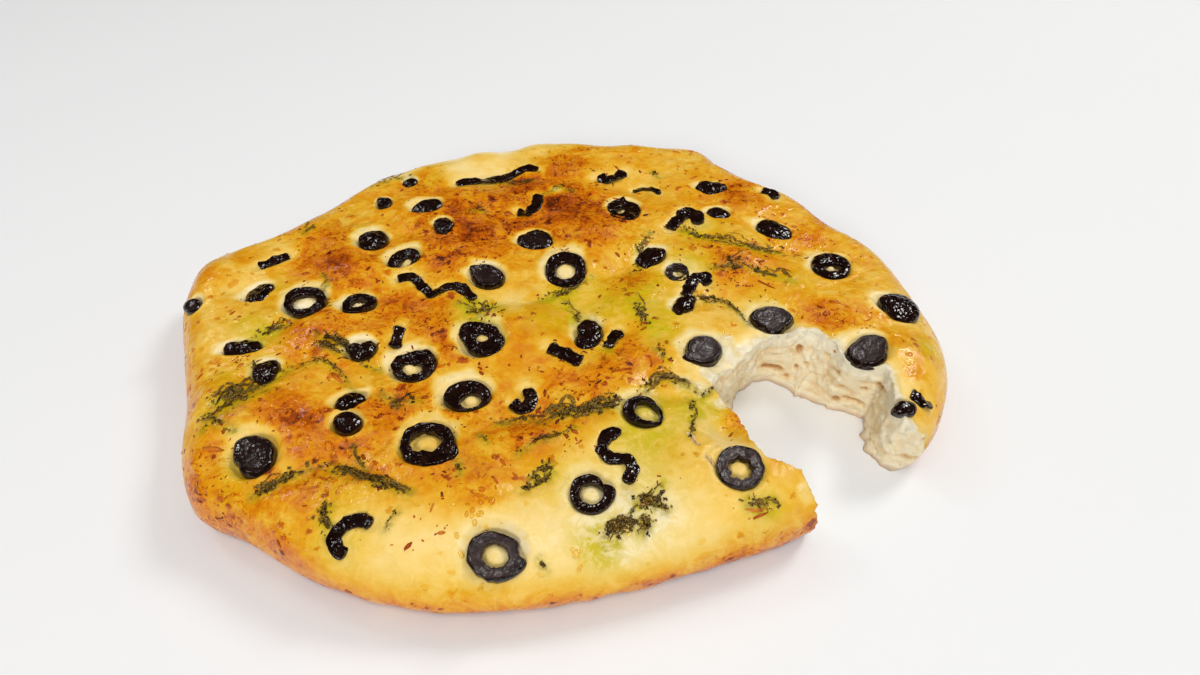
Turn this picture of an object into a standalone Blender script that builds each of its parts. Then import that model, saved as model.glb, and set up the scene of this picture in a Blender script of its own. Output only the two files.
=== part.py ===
"""Olive focaccia: an oval flatbread, torn open on its right side, with sliced black olives and herbs.

The loaf lies on a table at z = 0, with +Z up, the torn gap towards +X and its front edge towards -Y.
Places on the crust are given as points of the photograph, which a sight line carries down to the
crust. Everything else is a real size in metres.
"""

import math

import bmesh
import bpy
import numpy as np
from mathutils import Matrix, Vector, noise
from mathutils.bvhtree import BVHTree

MM = 0.001

# The loaf's section
CRUST_HEIGHT = 31 * MM
SIDE_HEIGHT = 12 * MM
SHOULDER = 17 * MM
SIDE_RINGS = ((8.5 * MM, 0.6 * MM), (5 * MM, 1.8 * MM), (2 * MM, 3.8 * MM), (0.0, 7 * MM))
BAKE_WAVE = 1.9 * MM
WAVE_LENGTH = 38 * MM
GRID_CELLS = 46
RIM_CROWDING = 0.86

# The loaf's outline in plan: angle in degrees from +X, and reach in mm from the loaf's middle
OUTLINE = (
    (-168, 166), (-156, 162), (-145, 167), (-139, 168), (-133, 161), (-119, 155), (-102, 149.5),
    (-86, 144), (-73, 143), (-60, 147), (-49, 155), (-37, 165), (-24, 180), (-11, 185), (2, 179),
    (13, 175), (22, 166), (33, 164), (44, 158), (52, 161.5), (58, 169.5), (66, 161), (78, 150),
    (90, 153), (96, 152), (101, 146), (112, 146), (124, 150), (137, 150.5), (152, 152), (163, 160),
    (171, 180), (178, 178),
)

# The view that the photograph was taken from
FOCAL_PIXELS = 700.0
MIDDLE_PIXEL = (600.0, 337.5)
VIEW_PITCH = math.radians(44.0)
EYE_HEIGHT = 0.245
MIDDLE_FROM_EYE = (-0.0257, 0.2538)

# Swells and hollows of the crust: photo point, reach in mm, height in mm
SWELLS = (
    ((455, 242), 24, 3.2), ((350, 262), 17, 3.0), ((214, 274), 14, 2.6), ((322, 328), 18, 3.2),
    ((300, 402), 22, 3.0), ((468, 192), 18, 2.2), ((598, 226), 22, 3.0), ((745, 205), 15, 2.8),
    ((742, 252), 15, 2.2), ((640, 300), 16, 2.0), ((520, 318), 17, 2.4), ((612, 368), 22, 2.4),
    ((440, 492), 30, 2.8), ((560, 440), 20, 2.2), ((680, 470), 22, 2.2), ((860, 306), 18, 3.2),
    ((910, 352), 12, 2.2), ((376, 492), 16, 2.0), ((232, 420), 15, 2.2), ((545, 545), 20, 1.8),
    ((620, 150), 26, 2.6), ((480, 158), 14, 2.6), ((495, 180), 12, -3.4), ((640, 180), 14, -2.2),
    ((238, 286), 9, -2.4), ((500, 296), 9, -2.2), ((748, 362), 13, -7.5), ((727, 424), 9, -6.0),
    ((716, 398), 6, -3.0), ((590, 300), 10, -1.8), ((668, 388), 14, -2.0), ((495, 584), 30, -5.0),
    ((400, 588), 30, -3.0), ((590, 580), 30, -3.0),
)

# The torn gap: points of its crust edge in the photo, and how far the crumb juts out below, in mm
TEAR_EDGE = (
    ((819, 500), 1.0), ((809, 489), 2.5), ((801, 475), 3.5), ((779, 467), 4.0), ((764, 463), 4.0),
    ((751, 446), 4.0), ((745, 428), 5.0), ((736, 415), 5.5), ((722, 401), 8.0), ((712, 385), 10.0),
    ((722, 371), 6.0), ((740, 358), 0.5), ((754, 348), -1.0), ((765, 343), -2.0), ((776, 340), -1.5),
    ((786, 338), 4.0), ((801, 335), 11.0), ((816, 337), 14.0), ((832, 350), 8.0), ((844, 366), 1.5),
    ((864, 373), -1.0), ((882, 377), 1.0), ((888, 394), 2.5), ((891, 410), 3.0), ((902, 423), 2.0),
    ((922, 430), 1.0),
    ((944, 430), 0.0),
)
TEAR_OUTSIDE = ((1040, 460), (1000, 580), (850, 560), (828, 516))
TEAR_EDGE_HEIGHT = 27 * MM
TEAR_OVER = 1.1
CRAG_FLATNESS = 2.2
TEAR_LEVELS = (-6 * MM, 0.8 * MM, 5 * MM, 10 * MM, 15 * MM, 20 * MM, 25 * MM, 34 * MM, 50 * MM)
TEAR_STEP = 4.5 * MM
CRAG = 2.2 * MM
CRAG_LENGTH = 7 * MM

# What the Booleans leave: corners closer than this are one corner
SLIVER = 0.1 * MM

# Olive slices
OLIVE_THICK = 4.4 * MM
OLIVE_SINK = 2.8 * MM
RISE_PER_HEIGHT = 0.5
RISE_LOSS = 2.4 * MM
SEAT_SLOPE_MOST = 0.22
SLOPE_STEP = 6 * MM
OLIVE_GAP = 0.35 * MM
OLIVE_LIFT_STEP = 0.25 * MM
HOLLOW_REACH = 1.85
OLIVE_DROP_FROM = 8 * MM
RING_SIDES = 14
RING_SECTION = ((0.0, 0.35), (0.25, 0.92), (0.65, 1.0), (1.0, 0.45), (0.6, 0.0))
RING_UNEVEN = ((3, 0.04), (5, 0.03))
LUMP_UNEVEN = ((2, 0.06), (3, 0.04))
POINTED_LONGER = 0.35
POINTED_SLIMMER = 0.25
LUMP_SIDES = 12
LUMP_RINGS = ((0.72, 0.0), (1.0, 0.38), (0.84, 0.86), (0.45, 1.0))
STRIP_STEP = 4.6 * MM
STRIP_THICK = 3.6 * MM
STRIP_RISE = 1.5 * MM
STRIP_TAPER = 0.7

# Whole rings: photo point, width, depth and band in mm, turn and lean towards the viewer in degrees,
# and the shift of the hole in mm
RINGS = (
    ((404, 257), 18.0, 13.5, 4.2, 34, 12, (1.0, -1.0)),
    ((305, 302), 19.5, 20.0, 4.4, 12, 4, (0.0, 0.0)),
    ((358, 304), 16.5, 12.5, 3.9, 12, 0, (0.0, 0.4)),
    ((482, 338), 20.5, 21.0, 6.6, -10, 4, (0.0, 1.0)),
    ((625, 208), 16.5, 17.5, 5.6, -4, 0, (0.5, 0.0)),
    ((566, 268), 19.8, 23.0, 4.9, -5, 8, (0.0, 0.0)),
    ((674, 272), 9.0, 11.5, 2.7, 0, 4, (0.0, 0.0)),
    ((831, 266), 18.5, 20.0, 7.0, -10, 2, (0.0, -0.5)),
    ((413, 364), 19.0, 18.5, 5.4, 12, 4, (-1.5, -1.2)),
    ((466, 395), 20.5, 17.0, 5.6, 14, 0, (1.8, -2.2)),
    ((642, 411), 16.5, 15.5, 3.9, -30, 0, (1.4, 0.4)),
    ((427, 443), 20.5, 19.5, 5.2, 6, 0, (0.0, 0.6)),
    ((740, 467), 17.8, 17.4, 5.2, 0, 0, (0.0, 0.0)),
)

# Rings with a piece missing: photo point, width, depth and band in mm, then the open angles in degrees
OPEN_RINGS = (
    ((495, 554), 20.8, 19.0, 5.5, (-20, 12)),
    ((591, 493), 15.6, 15.4, 4.0, (34, 62)),
)

# Slices, caps and pieces of olive with no hole: photo point, width, depth and height in mm, turn and
# lean in degrees, and how pointed one end is
LUMPS = (
    ((410, 182), 8.0, 9.0, 4.0, 0, 8, 0.0), ((384, 203), 8.5, 10.5, 5.0, 0, 6, 0.1),
    ((426, 205), 18.0, 12.5, 4.6, 16, 10, 0.1), ((372, 239), 16.0, 15.5, 6.0, 15, 6, 0.0),
    ((443, 223), 10.0, 11.5, 6.0, 20, 4, 0.0), ((535, 240), 18.0, 13.5, 5.2, -8, 8, 0.25),
    ((258, 293), 15.5, 9.5, 4.6, 40, 0, 0.2), ((487, 276), 17.8, 16.0, 4.6, -18, 6, 0.3),
    ((194, 304), 8.0, 9.0, 5.0, 0, 0, 0.1), ((711, 187), 17.0, 9.0, 5.6, -6, 6, 0.1),
    ((718, 212), 13.5, 7.5, 4.2, -12, 4, 0.2), ((773, 230), 19.0, 11.0, 5.0, -26, 2, 0.0),
    ((652, 256), 16.0, 11.5, 5.2, 38, 4, 0.3), ((683, 304), 12.5, 8.5, 5.0, 45, 2, 0.0),
    ((772, 320), 20.0, 17.5, 4.4, -8, 4, 0.45), ((589, 332), 12.5, 19.0, 6.0, -12, 4, 0.15),
    ((897, 307), 20.5, 13.5, 6.4, -46, 0, 0.1), ((242, 348), 17.5, 8.0, 4.8, 8, 2, 0.1),
    ((264, 370), 11.5, 10.0, 5.2, 40, 0, 0.3), ((360, 348), 13.2, 11.5, 5.6, 20, 2, 0.3),
    ((350, 399), 14.5, 7.6, 5.2, 26, 2, 0.1), ((346, 423), 12.2, 9.6, 6.2, -20, 0, 0.1),
    ((254, 456), 18.5, 18.0, 4.6, -80, 2, 0.2), ((702, 350), 18.6, 16.6, 4.4, -4, 2, 0.2),
    ((867, 350), 20.0, 17.0, 4.6, 38, 2, 0.4), ((903, 405), 10.0, 7.0, 5.0, 20, 0, 0.0),
)

# Strips and curls of olive: width in mm, then the photo points that they run through
STRIPS = (
    (5.2, ((517, 209), (527, 210), (537, 204), (538, 193))),
    (4.4, ((397, 277), (411, 273), (421, 283), (430, 292), (444, 284), (456, 283), (466, 289), (474, 296))),
    (4.4, ((400, 325), (397, 335), (394, 345))),
    (4.8, ((456, 179), (476, 176), (496, 175), (511, 172), (526, 166), (538, 167))),
    (5.6, ((597, 174), (607, 176), (617, 174), (625, 170))),
    (2.8, ((633, 187), (643, 185), (653, 187), (660, 191))),
    (5.4, ((762, 188), (771, 190), (777, 196))),
    (6.4, ((670, 226), (678, 217), (688, 208), (696, 212), (699, 221))),
    (5.6, ((686, 293), (690, 284), (696, 275), (704, 275), (709, 282))),
    (4.6, ((619, 327), (613, 335), (608, 344))),
    (4.8, ((258, 264), (272, 259), (288, 253))),
    (5.4, ((549, 345), (565, 352), (581, 360))),
    (4.6, ((527, 386), (532, 395), (528, 404), (519, 407), (512, 400))),
    (5.0, ((912, 391), (922, 397), (933, 404))),
    (4.6, ((371, 521), (361, 517), (349, 518), (338, 526), (332, 537), (337, 548), (345, 553))),
    (4.4, ((619, 427), (606, 435), (600, 447), (611, 456), (629, 457), (634, 467), (627, 480))),
)

# Herbs and flecks that stand proud of the crust: photo point, reach in photo pixels, and how many
HERB_CLUMPS = (
    ((624, 523), (15, 13), 5), ((654, 501), (14, 10), 4), ((645, 524), (8, 8), 2), ((324, 519), (11, 11), 4),
    ((580, 409), (36, 8), 8), ((692, 410), (3, 15), 3), ((672, 384), (22, 8), 4), ((713, 386), (8, 5), 1),
    ((246, 388), (34, 18), 7), ((283, 366), (8, 5), 1), ((276, 480), (22, 10), 4), ((364, 467), (38, 14), 8),
    ((345, 346), (26, 12), 5), ((478, 308), (20, 9), 4), ((268, 330), (16, 7), 3), ((676, 231), (20, 4), 3),
    ((764, 244), (22, 6), 3), ((772, 275), (26, 8), 3), ((648, 246), (6, 8), 2), ((540, 478), (10, 5), 2),
    ((762, 504), (8, 8), 2), ((353, 449), (6, 8), 2), ((700, 304), (26, 5), 2), ((396, 402), (22, 6), 3),
    ((482, 437), (5, 5), 1), ((552, 296), (11, 4), 2), ((309, 228), (5, 5), 1), ((475, 208), (6, 3), 1),
    ((653, 172), (7, 5), 1), ((748, 534), (8, 9), 1), ((372, 520), (3, 5), 1), ((650, 322), (8, 12), 2),
)
FLECK_LENGTH = 6.5 * MM
FLECK_WIDTH = 1.9 * MM
FLECK_HEIGHT = 1.3 * MM
FLECK_CLEARANCE = 1.6 * MM
FLECK_TOP_SHARE = 0.8
FLECK_SPACING = 0.8 * FLECK_LENGTH
FLECK_LENGTHS = (0.75, 1.2)
FLECK_TRIES = 12
NEAR_STEP = 2 * MM
OVERHEAD = 0.1
LEVEL_ENOUGH = 0.8
FLECK_SEED = 11

CRUST_COLOUR = (0.80, 0.44, 0.10)
OLIVE_COLOUR = (0.035, 0.022, 0.026)


def clear_scene():
    """Removes whatever the file holds, such as the startup cube, camera and light."""
    for thing in list(bpy.data.objects):
        bpy.data.objects.remove(thing)


def finish_material(name, colour, roughness):
    """One plain material for a sub-part."""
    material = bpy.data.materials.new(name)
    material.use_nodes = True
    shader = material.node_tree.nodes["Principled BSDF"]
    shader.inputs["Base Color"].default_value = (*colour, 1.0)
    shader.inputs["Roughness"].default_value = roughness
    return material


def outline_reach(angles):
    """Distance from the loaf's middle to its side at each angle, by a smooth curve through OUTLINE."""
    knots = np.radians([angle for angle, _ in OUTLINE])
    reach = np.array([size for _, size in OUTLINE]) * MM
    order = np.argsort(knots)
    knots = knots[order]
    reach = reach[order]
    knots = np.concatenate([knots[-2:] - math.tau, knots, knots[:2] + math.tau])
    reach = np.concatenate([reach[-2:], reach, reach[:2]])
    slopes = np.gradient(reach, knots)
    wrapped = (np.asarray(angles) + math.pi) % math.tau - math.pi
    left = np.clip(np.searchsorted(knots, wrapped, side="right") - 1, 0, len(knots) - 2)
    width = knots[left + 1] - knots[left]
    t = (wrapped - knots[left]) / width
    start = (1 + 2 * t) * (1 - t) ** 2 * reach[left] + t * (1 - t) ** 2 * width * slopes[left]
    end = t * t * (3 - 2 * t) * reach[left + 1] - t * t * (1 - t) * width * slopes[left + 1]
    return start + end


def outline_middle():
    """Middle of the outline's own box, which becomes the part's origin."""
    angles = np.linspace(-math.pi, math.pi, 721)
    reach = outline_reach(angles)
    x = reach * np.cos(angles)
    y = reach * np.sin(angles)
    return np.array([(x.min() + x.max()) / 2, (y.min() + y.max()) / 2])


ORIGIN = outline_middle()


def sight(point, height=CRUST_HEIGHT):
    """Where the sight line through a photo point meets the level at that height, in plan."""
    across = (point[0] - MIDDLE_PIXEL[0]) / FOCAL_PIXELS
    down = (point[1] - MIDDLE_PIXEL[1]) / FOCAL_PIXELS
    forward = math.cos(VIEW_PITCH) - down * math.sin(VIEW_PITCH)
    fall = math.sin(VIEW_PITCH) + down * math.cos(VIEW_PITCH)
    run = (EYE_HEIGHT - height) / fall
    return np.array([run * across, run * forward]) - np.array(MIDDLE_FROM_EYE) - ORIGIN


def wave(x, y, length):
    """Smooth uneven relief between about -1 and 1, repeating nowhere."""
    return np.array([noise.noise(Vector((a / length, b / length, 3.7))) for a, b in zip(x, y)])


def ease(share):
    """Smooth step from 0 to 1."""
    share = np.clip(share, 0.0, 1.0)
    return share * share * (3 - 2 * share)


def body_height(x, y):
    """Height of the baked dough over the table before the olives press into it."""
    angle = np.arctan2(y + ORIGIN[1], x + ORIGIN[0])
    reach = outline_reach(angle)
    inset = reach - np.hypot(x + ORIGIN[0], y + ORIGIN[1])
    round_over = np.sqrt(np.clip(1 - (1 - np.clip(inset / SHOULDER, 0, 1)) ** 2, 0, 1))
    level = CRUST_HEIGHT + BAKE_WAVE * wave(x, y, WAVE_LENGTH)
    for point, size, height in SWELLS:
        middle = sight(point)
        far = np.hypot(x - middle[0], y - middle[1]) / (size * MM)
        level = level + height * MM * np.exp(-(far ** 2))
    return SIDE_HEIGHT + (level - SIDE_HEIGHT) * round_over


def body_slope(middle):
    """Slope of the dough along X and Y, averaged over a slice's width and held to what a slice follows."""
    step = SLOPE_STEP
    x = np.array([middle[0] - step, middle[0] + step, middle[0], middle[0]])
    y = np.array([middle[1], middle[1], middle[1] - step, middle[1] + step])
    heights = body_height(x, y)
    slopes = np.array([heights[1] - heights[0], heights[3] - heights[2]]) / (2 * step)
    return np.clip(slopes, -SEAT_SLOPE_MOST, SEAT_SLOPE_MOST)


def slice_rise(high):
    """How far the middle of a slice that is this thick stands over the dough round it."""
    return high * RISE_PER_HEIGHT - RISE_LOSS


def on_crust(point, rise):
    """Where the sight line through a photo point meets the level that far over the dough, in plan."""
    height = CRUST_HEIGHT
    for _ in range(4):
        place = sight(point, height + rise)
        height = float(body_height(place[:1], place[1:])[0])
    return place


def seat_plane(middle, lean):
    """Height of the dough floor under an olive slice, and its slope along X and Y."""
    base = float(body_height(middle[:1], middle[1:])[0])
    slope_x, slope_y = body_slope(middle)
    return base - OLIVE_SINK, slope_x, slope_y + math.tan(math.radians(lean))


def seat_frame(middle, turn, lean):
    """The frame that a slice is modelled in: its middle, its turn, and the tilt of its seat."""
    level, slope_x, slope_y = seat_plane(middle, lean)
    tilt = Vector((0, 0, 1)).rotation_difference(Vector((-slope_x, -slope_y, 1))).to_matrix().to_4x4()
    return Matrix.Translation((*middle, level)) @ tilt @ Matrix.Rotation(math.radians(turn), 4, "Z")


def list_seats():
    """Every place where a slice presses the dough: middle, half width, half depth, turn and seat plane."""
    found = []
    for point, wide, deep, _, turn, lean, _ in RINGS:
        found.append((point, wide, deep, OLIVE_THICK, turn, lean))
    for point, wide, deep, _, _ in OPEN_RINGS:
        found.append((point, wide, deep, OLIVE_THICK, 0, 0))
    for point, wide, deep, high, turn, lean, _ in LUMPS:
        found.append((point, wide, deep, high * MM, turn, lean))
    seats = []
    for point, wide, deep, high, turn, lean in found:
        middle = on_crust(point, slice_rise(high))
        seats.append((middle, wide / 2 * MM, deep / 2 * MM, turn, seat_plane(middle, lean)))
    return seats


SEATS = list_seats()


def crust_height(x, y):
    """Height of the top crust, with a hollow under every slice of olive."""
    level = body_height(x, y)
    for middle, half_wide, half_deep, turn, (base, slope_x, slope_y) in SEATS:
        angle = math.radians(turn)
        along = (x - middle[0]) * math.cos(angle) + (y - middle[1]) * math.sin(angle)
        aside = (y - middle[1]) * math.cos(angle) - (x - middle[0]) * math.sin(angle)
        far = np.hypot(along / half_wide, aside / half_deep)
        press = 1 - ease((far - 1) / (HOLLOW_REACH - 1))
        near = press > 0
        floor = base + slope_x * (x[near] - middle[0]) + slope_y * (y[near] - middle[1])
        level[near] = level[near] + (np.minimum(floor, level[near]) - level[near]) * press[near]
    return level


def round_grid(cells):
    """Plan places of a square grid's points, spread evenly over a unit circle."""
    steps = np.linspace(-1, 1, cells + 1)
    u, v = (axis.ravel() for axis in np.meshgrid(steps, steps))
    share = np.maximum(np.abs(u), np.abs(v))
    wide = np.abs(u) >= np.abs(v)
    safe_u = np.where(np.abs(u) > 0, u, 1.0)
    safe_v = np.where(np.abs(v) > 0, v, 1.0)
    side_turn = math.pi / 4 * v / safe_u + np.where(u < 0, math.pi, 0.0)
    end_turn = math.pi / 2 - math.pi / 4 * u / safe_v + np.where(v < 0, math.pi, 0.0)
    return share ** RIM_CROWDING, np.where(wide, side_turn, end_turn)


def join_object(name, bm, material):
    """Makes a named object from a bmesh, shaded smooth, with its faces pointing out."""
    bmesh.ops.recalc_face_normals(bm, faces=bm.faces)
    mesh = bpy.data.meshes.new(name)
    bm.to_mesh(mesh)
    bm.free()
    mesh.materials.append(material)
    mesh.shade_smooth()
    thing = bpy.data.objects.new(name, mesh)
    bpy.context.scene.collection.objects.link(thing)
    return thing


def model_loaf(material):
    """The whole loaf: a domed grid for its crust, rings of side wall below it and a flat foot."""
    share, turn = round_grid(GRID_CELLS)
    reach = share * outline_reach(turn)
    x = reach * np.cos(turn) - ORIGIN[0]
    y = reach * np.sin(turn) - ORIGIN[1]
    z = crust_height(x, y)
    bm = bmesh.new()
    bmesh.ops.create_grid(bm, x_segments=GRID_CELLS, y_segments=GRID_CELLS, size=1.0)
    bm.verts.ensure_lookup_table()
    for vert in bm.verts:
        column = round((vert.co.x + 1) / 2 * GRID_CELLS)
        row = round((vert.co.y + 1) / 2 * GRID_CELLS)
        spot = row * (GRID_CELLS + 1) + column
        vert.co = (x[spot], y[spot], z[spot])
    inset_so_far = 0.0
    for height, inset in SIDE_RINGS:
        edges = [edge for edge in bm.edges if edge.is_boundary]
        grown = bmesh.ops.extrude_edge_only(bm, edges=edges)["geom"]
        for vert in (item for item in grown if isinstance(item, bmesh.types.BMVert)):
            flat = Vector((vert.co.x + ORIGIN[0], vert.co.y + ORIGIN[1]))
            flat *= 1 - (inset - inset_so_far) / flat.length
            vert.co = (flat.x - ORIGIN[0], flat.y - ORIGIN[1], height)
        inset_so_far = inset
    bmesh.ops.edgeloop_fill(bm, edges=[edge for edge in bm.edges if edge.is_boundary])
    return join_object("bread", bm, material)


def spread_points(points, step):
    """Points at an even step along a broken line."""
    points = np.array(points, float)
    gaps = np.hypot(*np.diff(points[:, :2], axis=0).T)
    run = np.concatenate([[0.0], np.cumsum(gaps)])
    at = np.linspace(0.0, run[-1], max(2, round(run[-1] / step) + 1))
    return np.stack([np.interp(at, run, points[:, k]) for k in range(points.shape[1])], axis=1)


def model_tear():
    """The torn-out piece as a cutter: a stack of craggy outlines that draws in towards the crumb's foot."""
    edge = [(*sight(point, TEAR_EDGE_HEIGHT), jut * MM) for point, jut in TEAR_EDGE]
    edge = spread_points(edge, TEAR_STEP)
    outside = np.array([(*sight(point, TEAR_EDGE_HEIGHT), 0.0) for point in TEAR_OUTSIDE])
    ahead = np.gradient(edge[:, :2], axis=0)
    ahead /= np.linalg.norm(ahead, axis=1)[:, None]
    inward = np.stack([ahead[:, 1], -ahead[:, 0]], axis=1)
    inward = np.concatenate([inward, np.zeros((len(outside), 2))])
    loop = np.concatenate([edge, outside])
    torn = len(edge)
    bm = bmesh.new()
    rings = []
    for height in TEAR_LEVELS:
        drawn_in = 1 - min(max(height / TEAR_EDGE_HEIGHT, 0.0), TEAR_OVER)
        ring = []
        for index, (x, y, jut) in enumerate(loop):
            rough = 0.0
            if index < torn:
                probe = Vector((x / CRAG_LENGTH, y / CRAG_LENGTH, CRAG_FLATNESS * height / CRAG_LENGTH))
                rough = CRAG * noise.noise(probe)
            shift = inward[index] * (jut * drawn_in + rough)
            ring.append(bm.verts.new((x + shift[0], y + shift[1], height)))
        rings.append(ring)
    for lower, upper in zip(rings, rings[1:]):
        for k in range(len(lower)):
            following = (k + 1) % len(lower)
            bm.faces.new((lower[k], lower[following], upper[following], upper[k]))
    bm.faces.new(rings[0])
    bm.faces.new(rings[-1])
    cutter = join_object("tear_cutter", bm, bpy.data.materials.new("tear"))
    cutter.hide_render = True
    cutter.display_type = "WIRE"
    return cutter


def strip_route(points, step):
    """Plan points at an even step along a strip of olive."""
    return spread_points([on_crust(point, STRIP_RISE) for point in points], step)


def near_olive(x, y):
    """Whether a plan place is under or right beside a piece of olive."""
    for middle, half_wide, half_deep, turn, _ in SEATS:
        angle = math.radians(turn)
        along = (x - middle[0]) * math.cos(angle) + (y - middle[1]) * math.sin(angle)
        aside = (y - middle[1]) * math.cos(angle) - (x - middle[0]) * math.sin(angle)
        clear = FLECK_LENGTH / 2 + FLECK_CLEARANCE
        if math.hypot(along / (half_wide + clear), aside / (half_deep + clear)) < 1:
            return True
    for wide, points in STRIPS:
        route = strip_route(points, NEAR_STEP)
        clear = wide / 2 * MM + FLECK_LENGTH / 2 + FLECK_CLEARANCE
        if np.hypot(route[:, 0] - x, route[:, 1] - y).min() < clear:
            return True
    return False


def fleck(place, height, turn, length):
    """One herb leaf: a thin six-cornered wedge, wider in its middle, half sunk in the crust."""
    half = length / 2
    plan = ((-half, 0), (0, -FLECK_WIDTH / 2), (half, 0), (0, FLECK_WIDTH / 2))
    bm = bmesh.new()
    lower = [bm.verts.new((a, b, -FLECK_HEIGHT)) for a, b in plan]
    upper = [bm.verts.new((a * FLECK_TOP_SHARE, b * FLECK_TOP_SHARE, FLECK_HEIGHT / 2)) for a, b in plan]
    bm.faces.new(lower)
    bm.faces.new(upper)
    for k in range(4):
        following = (k + 1) % 4
        bm.faces.new((lower[k], lower[following], upper[following], upper[k]))
    bm.transform(Matrix.Translation((place[0], place[1], height)) @ Matrix.Rotation(turn, 4, "Z"))
    return bm


def model_herbs(bread, material):
    """Flecks of herb in clumps on the crust, as a collection of small closed pieces."""
    herbs = bpy.data.collections.new("herbs")
    bpy.context.scene.collection.children.link(herbs)
    draw = np.random.default_rng(FLECK_SEED)
    surface = BVHTree.FromObject(bread, bpy.context.evaluated_depsgraph_get())
    placed = []
    for point, spread, count in HERB_CLUMPS:
        made = 0
        for _ in range(count * FLECK_TRIES):
            if made == count:
                break
            offset = draw.uniform(-1, 1, 2) * spread
            turn = draw.uniform(0, math.pi)
            length = FLECK_LENGTH * draw.uniform(*FLECK_LENGTHS)
            place = sight((point[0] + offset[0], point[1] + offset[1]))
            hit = surface.ray_cast(Vector((*place, OVERHEAD)), Vector((0, 0, -1)))
            crowded = any(math.dist(place, other) < FLECK_SPACING for other in placed)
            if hit[0] is None or hit[1].z < LEVEL_ENOUGH or crowded or near_olive(*place):
                continue
            piece = join_object("fleck", fleck(place, hit[0].z, turn, length), material)
            bpy.context.scene.collection.objects.unlink(piece)
            herbs.objects.link(piece)
            placed.append(place)
            made += 1
    return herbs


def apply_boolean(thing, operation, cutter=None, collection=None):
    """Applies one Boolean to an object and removes what it was made with.

    The manifold solver does it, because the exact one loses the loaf where the crags graze its crust.
    """
    modifier = thing.modifiers.new(operation.lower(), "BOOLEAN")
    modifier.solver = "MANIFOLD"
    modifier.operation = operation
    if cutter:
        modifier.object = cutter
    else:
        modifier.operand_type = "COLLECTION"
        modifier.collection = collection
    result = bpy.data.meshes.new_from_object(thing.evaluated_get(bpy.context.evaluated_depsgraph_get()))
    thing.modifiers.clear()
    thing.data = result
    for used in [cutter] if cutter else list(collection.objects):
        bpy.data.objects.remove(used)
    if collection:
        bpy.data.collections.remove(collection)


def clean_body(thing):
    """Welds the slivers that the Booleans left and drops what is loose, so that one closed body stays."""
    bm = bmesh.new()
    bm.from_mesh(thing.data)
    bmesh.ops.triangulate(bm, faces=bm.faces)
    bmesh.ops.remove_doubles(bm, verts=bm.verts, dist=SLIVER)
    unseen = set(bm.faces)
    bodies = []
    while unseen:
        body = []
        reached = [unseen.pop()]
        while reached:
            face = reached.pop()
            body.append(face)
            for edge in (edge for edge in face.edges if len(edge.link_faces) == 2):
                beside = set(edge.link_faces) & unseen
                unseen -= beside
                reached.extend(beside)
        bodies.append(body)
    bodies.sort(key=len)
    scraps = [face for body in bodies[:-1] for face in body]
    bmesh.ops.delete(bm, geom=scraps, context="FACES")
    bm.to_mesh(thing.data)
    bm.free()


def band_section(inner, outer, thick):
    """Corners of a slice's section, from its low inner edge over its top to its rounded skin."""
    return [(*(inner + (outer - inner) * share), thick * level) for share, level in RING_SECTION]


def uneven(angles, waves, seed):
    """A slightly lumpy outline: how far it reaches at each angle, as a share of a true circle."""
    reach = np.ones(len(angles))
    for (count, size), shift in zip(waves, seed):
        reach += size * np.sin(count * angles + shift)
    return reach


def sweep_bands(bm, sections, closed):
    """Skins a run of sections into a tube, closed on itself or with a face at each end."""
    rings = [[bm.verts.new(corner) for corner in section] for section in sections]
    pairs = list(zip(rings, rings[1:]))
    if closed:
        pairs.append((rings[-1], rings[0]))
    for first, second in pairs:
        for k in range(len(first)):
            following = (k + 1) % len(first)
            bm.faces.new((first[k], first[following], second[following], second[k]))
    if not closed:
        bm.faces.new(rings[0])
        bm.faces.new(rings[-1])


def model_ring(point, wide, deep, band, turn=0, lean=0, shift=(0.0, 0.0), opening=None):
    """A slice of olive round its hole, lying on its own tilted seat."""
    closed = opening is None
    if closed:
        angles = np.linspace(0, math.tau, RING_SIDES, endpoint=False)
    else:
        angles = np.linspace(math.radians(opening[1]), math.radians(opening[0]) + math.tau, RING_SIDES)
    around = np.stack([np.cos(angles), np.sin(angles)], axis=1)
    outer = around * (wide / 2 * MM, deep / 2 * MM) * uneven(angles, RING_UNEVEN, point)[:, None]
    inner = around * ((wide / 2 - band) * MM, (deep / 2 - band) * MM) + np.array(shift) * MM
    sections = [band_section(*pair, OLIVE_THICK) for pair in zip(inner, outer)]
    bm = bmesh.new()
    sweep_bands(bm, sections, closed)
    bm.transform(seat_frame(on_crust(point, slice_rise(OLIVE_THICK)), turn, lean))
    return bm


def model_lump(point, wide, deep, high, turn, lean, pointed):
    """A slice with no hole, a cap or a chunk: rings of a rounded outline from its foot to its top."""
    angles = np.linspace(0, math.tau, LUMP_SIDES, endpoint=False)
    lumpy = uneven(angles, LUMP_UNEVEN, point) * (1 + pointed * POINTED_LONGER * np.cos(angles))
    lumpy = lumpy - pointed * POINTED_SLIMMER * np.abs(np.sin(angles))
    around = np.stack([np.cos(angles), np.sin(angles)], axis=1)
    outline = around * (wide / 2 * MM, deep / 2 * MM) * lumpy[:, None]
    bm = bmesh.new()
    rings = []
    for share, rise in LUMP_RINGS:
        rings.append([bm.verts.new((*place, high * rise * MM)) for place in outline * share])
    for lower, upper in zip(rings, rings[1:]):
        for k in range(len(lower)):
            following = (k + 1) % len(lower)
            bm.faces.new((lower[k], lower[following], upper[following], upper[k]))
    bm.faces.new(rings[0])
    bm.faces.new(rings[-1])
    bm.transform(seat_frame(on_crust(point, slice_rise(high * MM)), turn, lean))
    return bm


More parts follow.
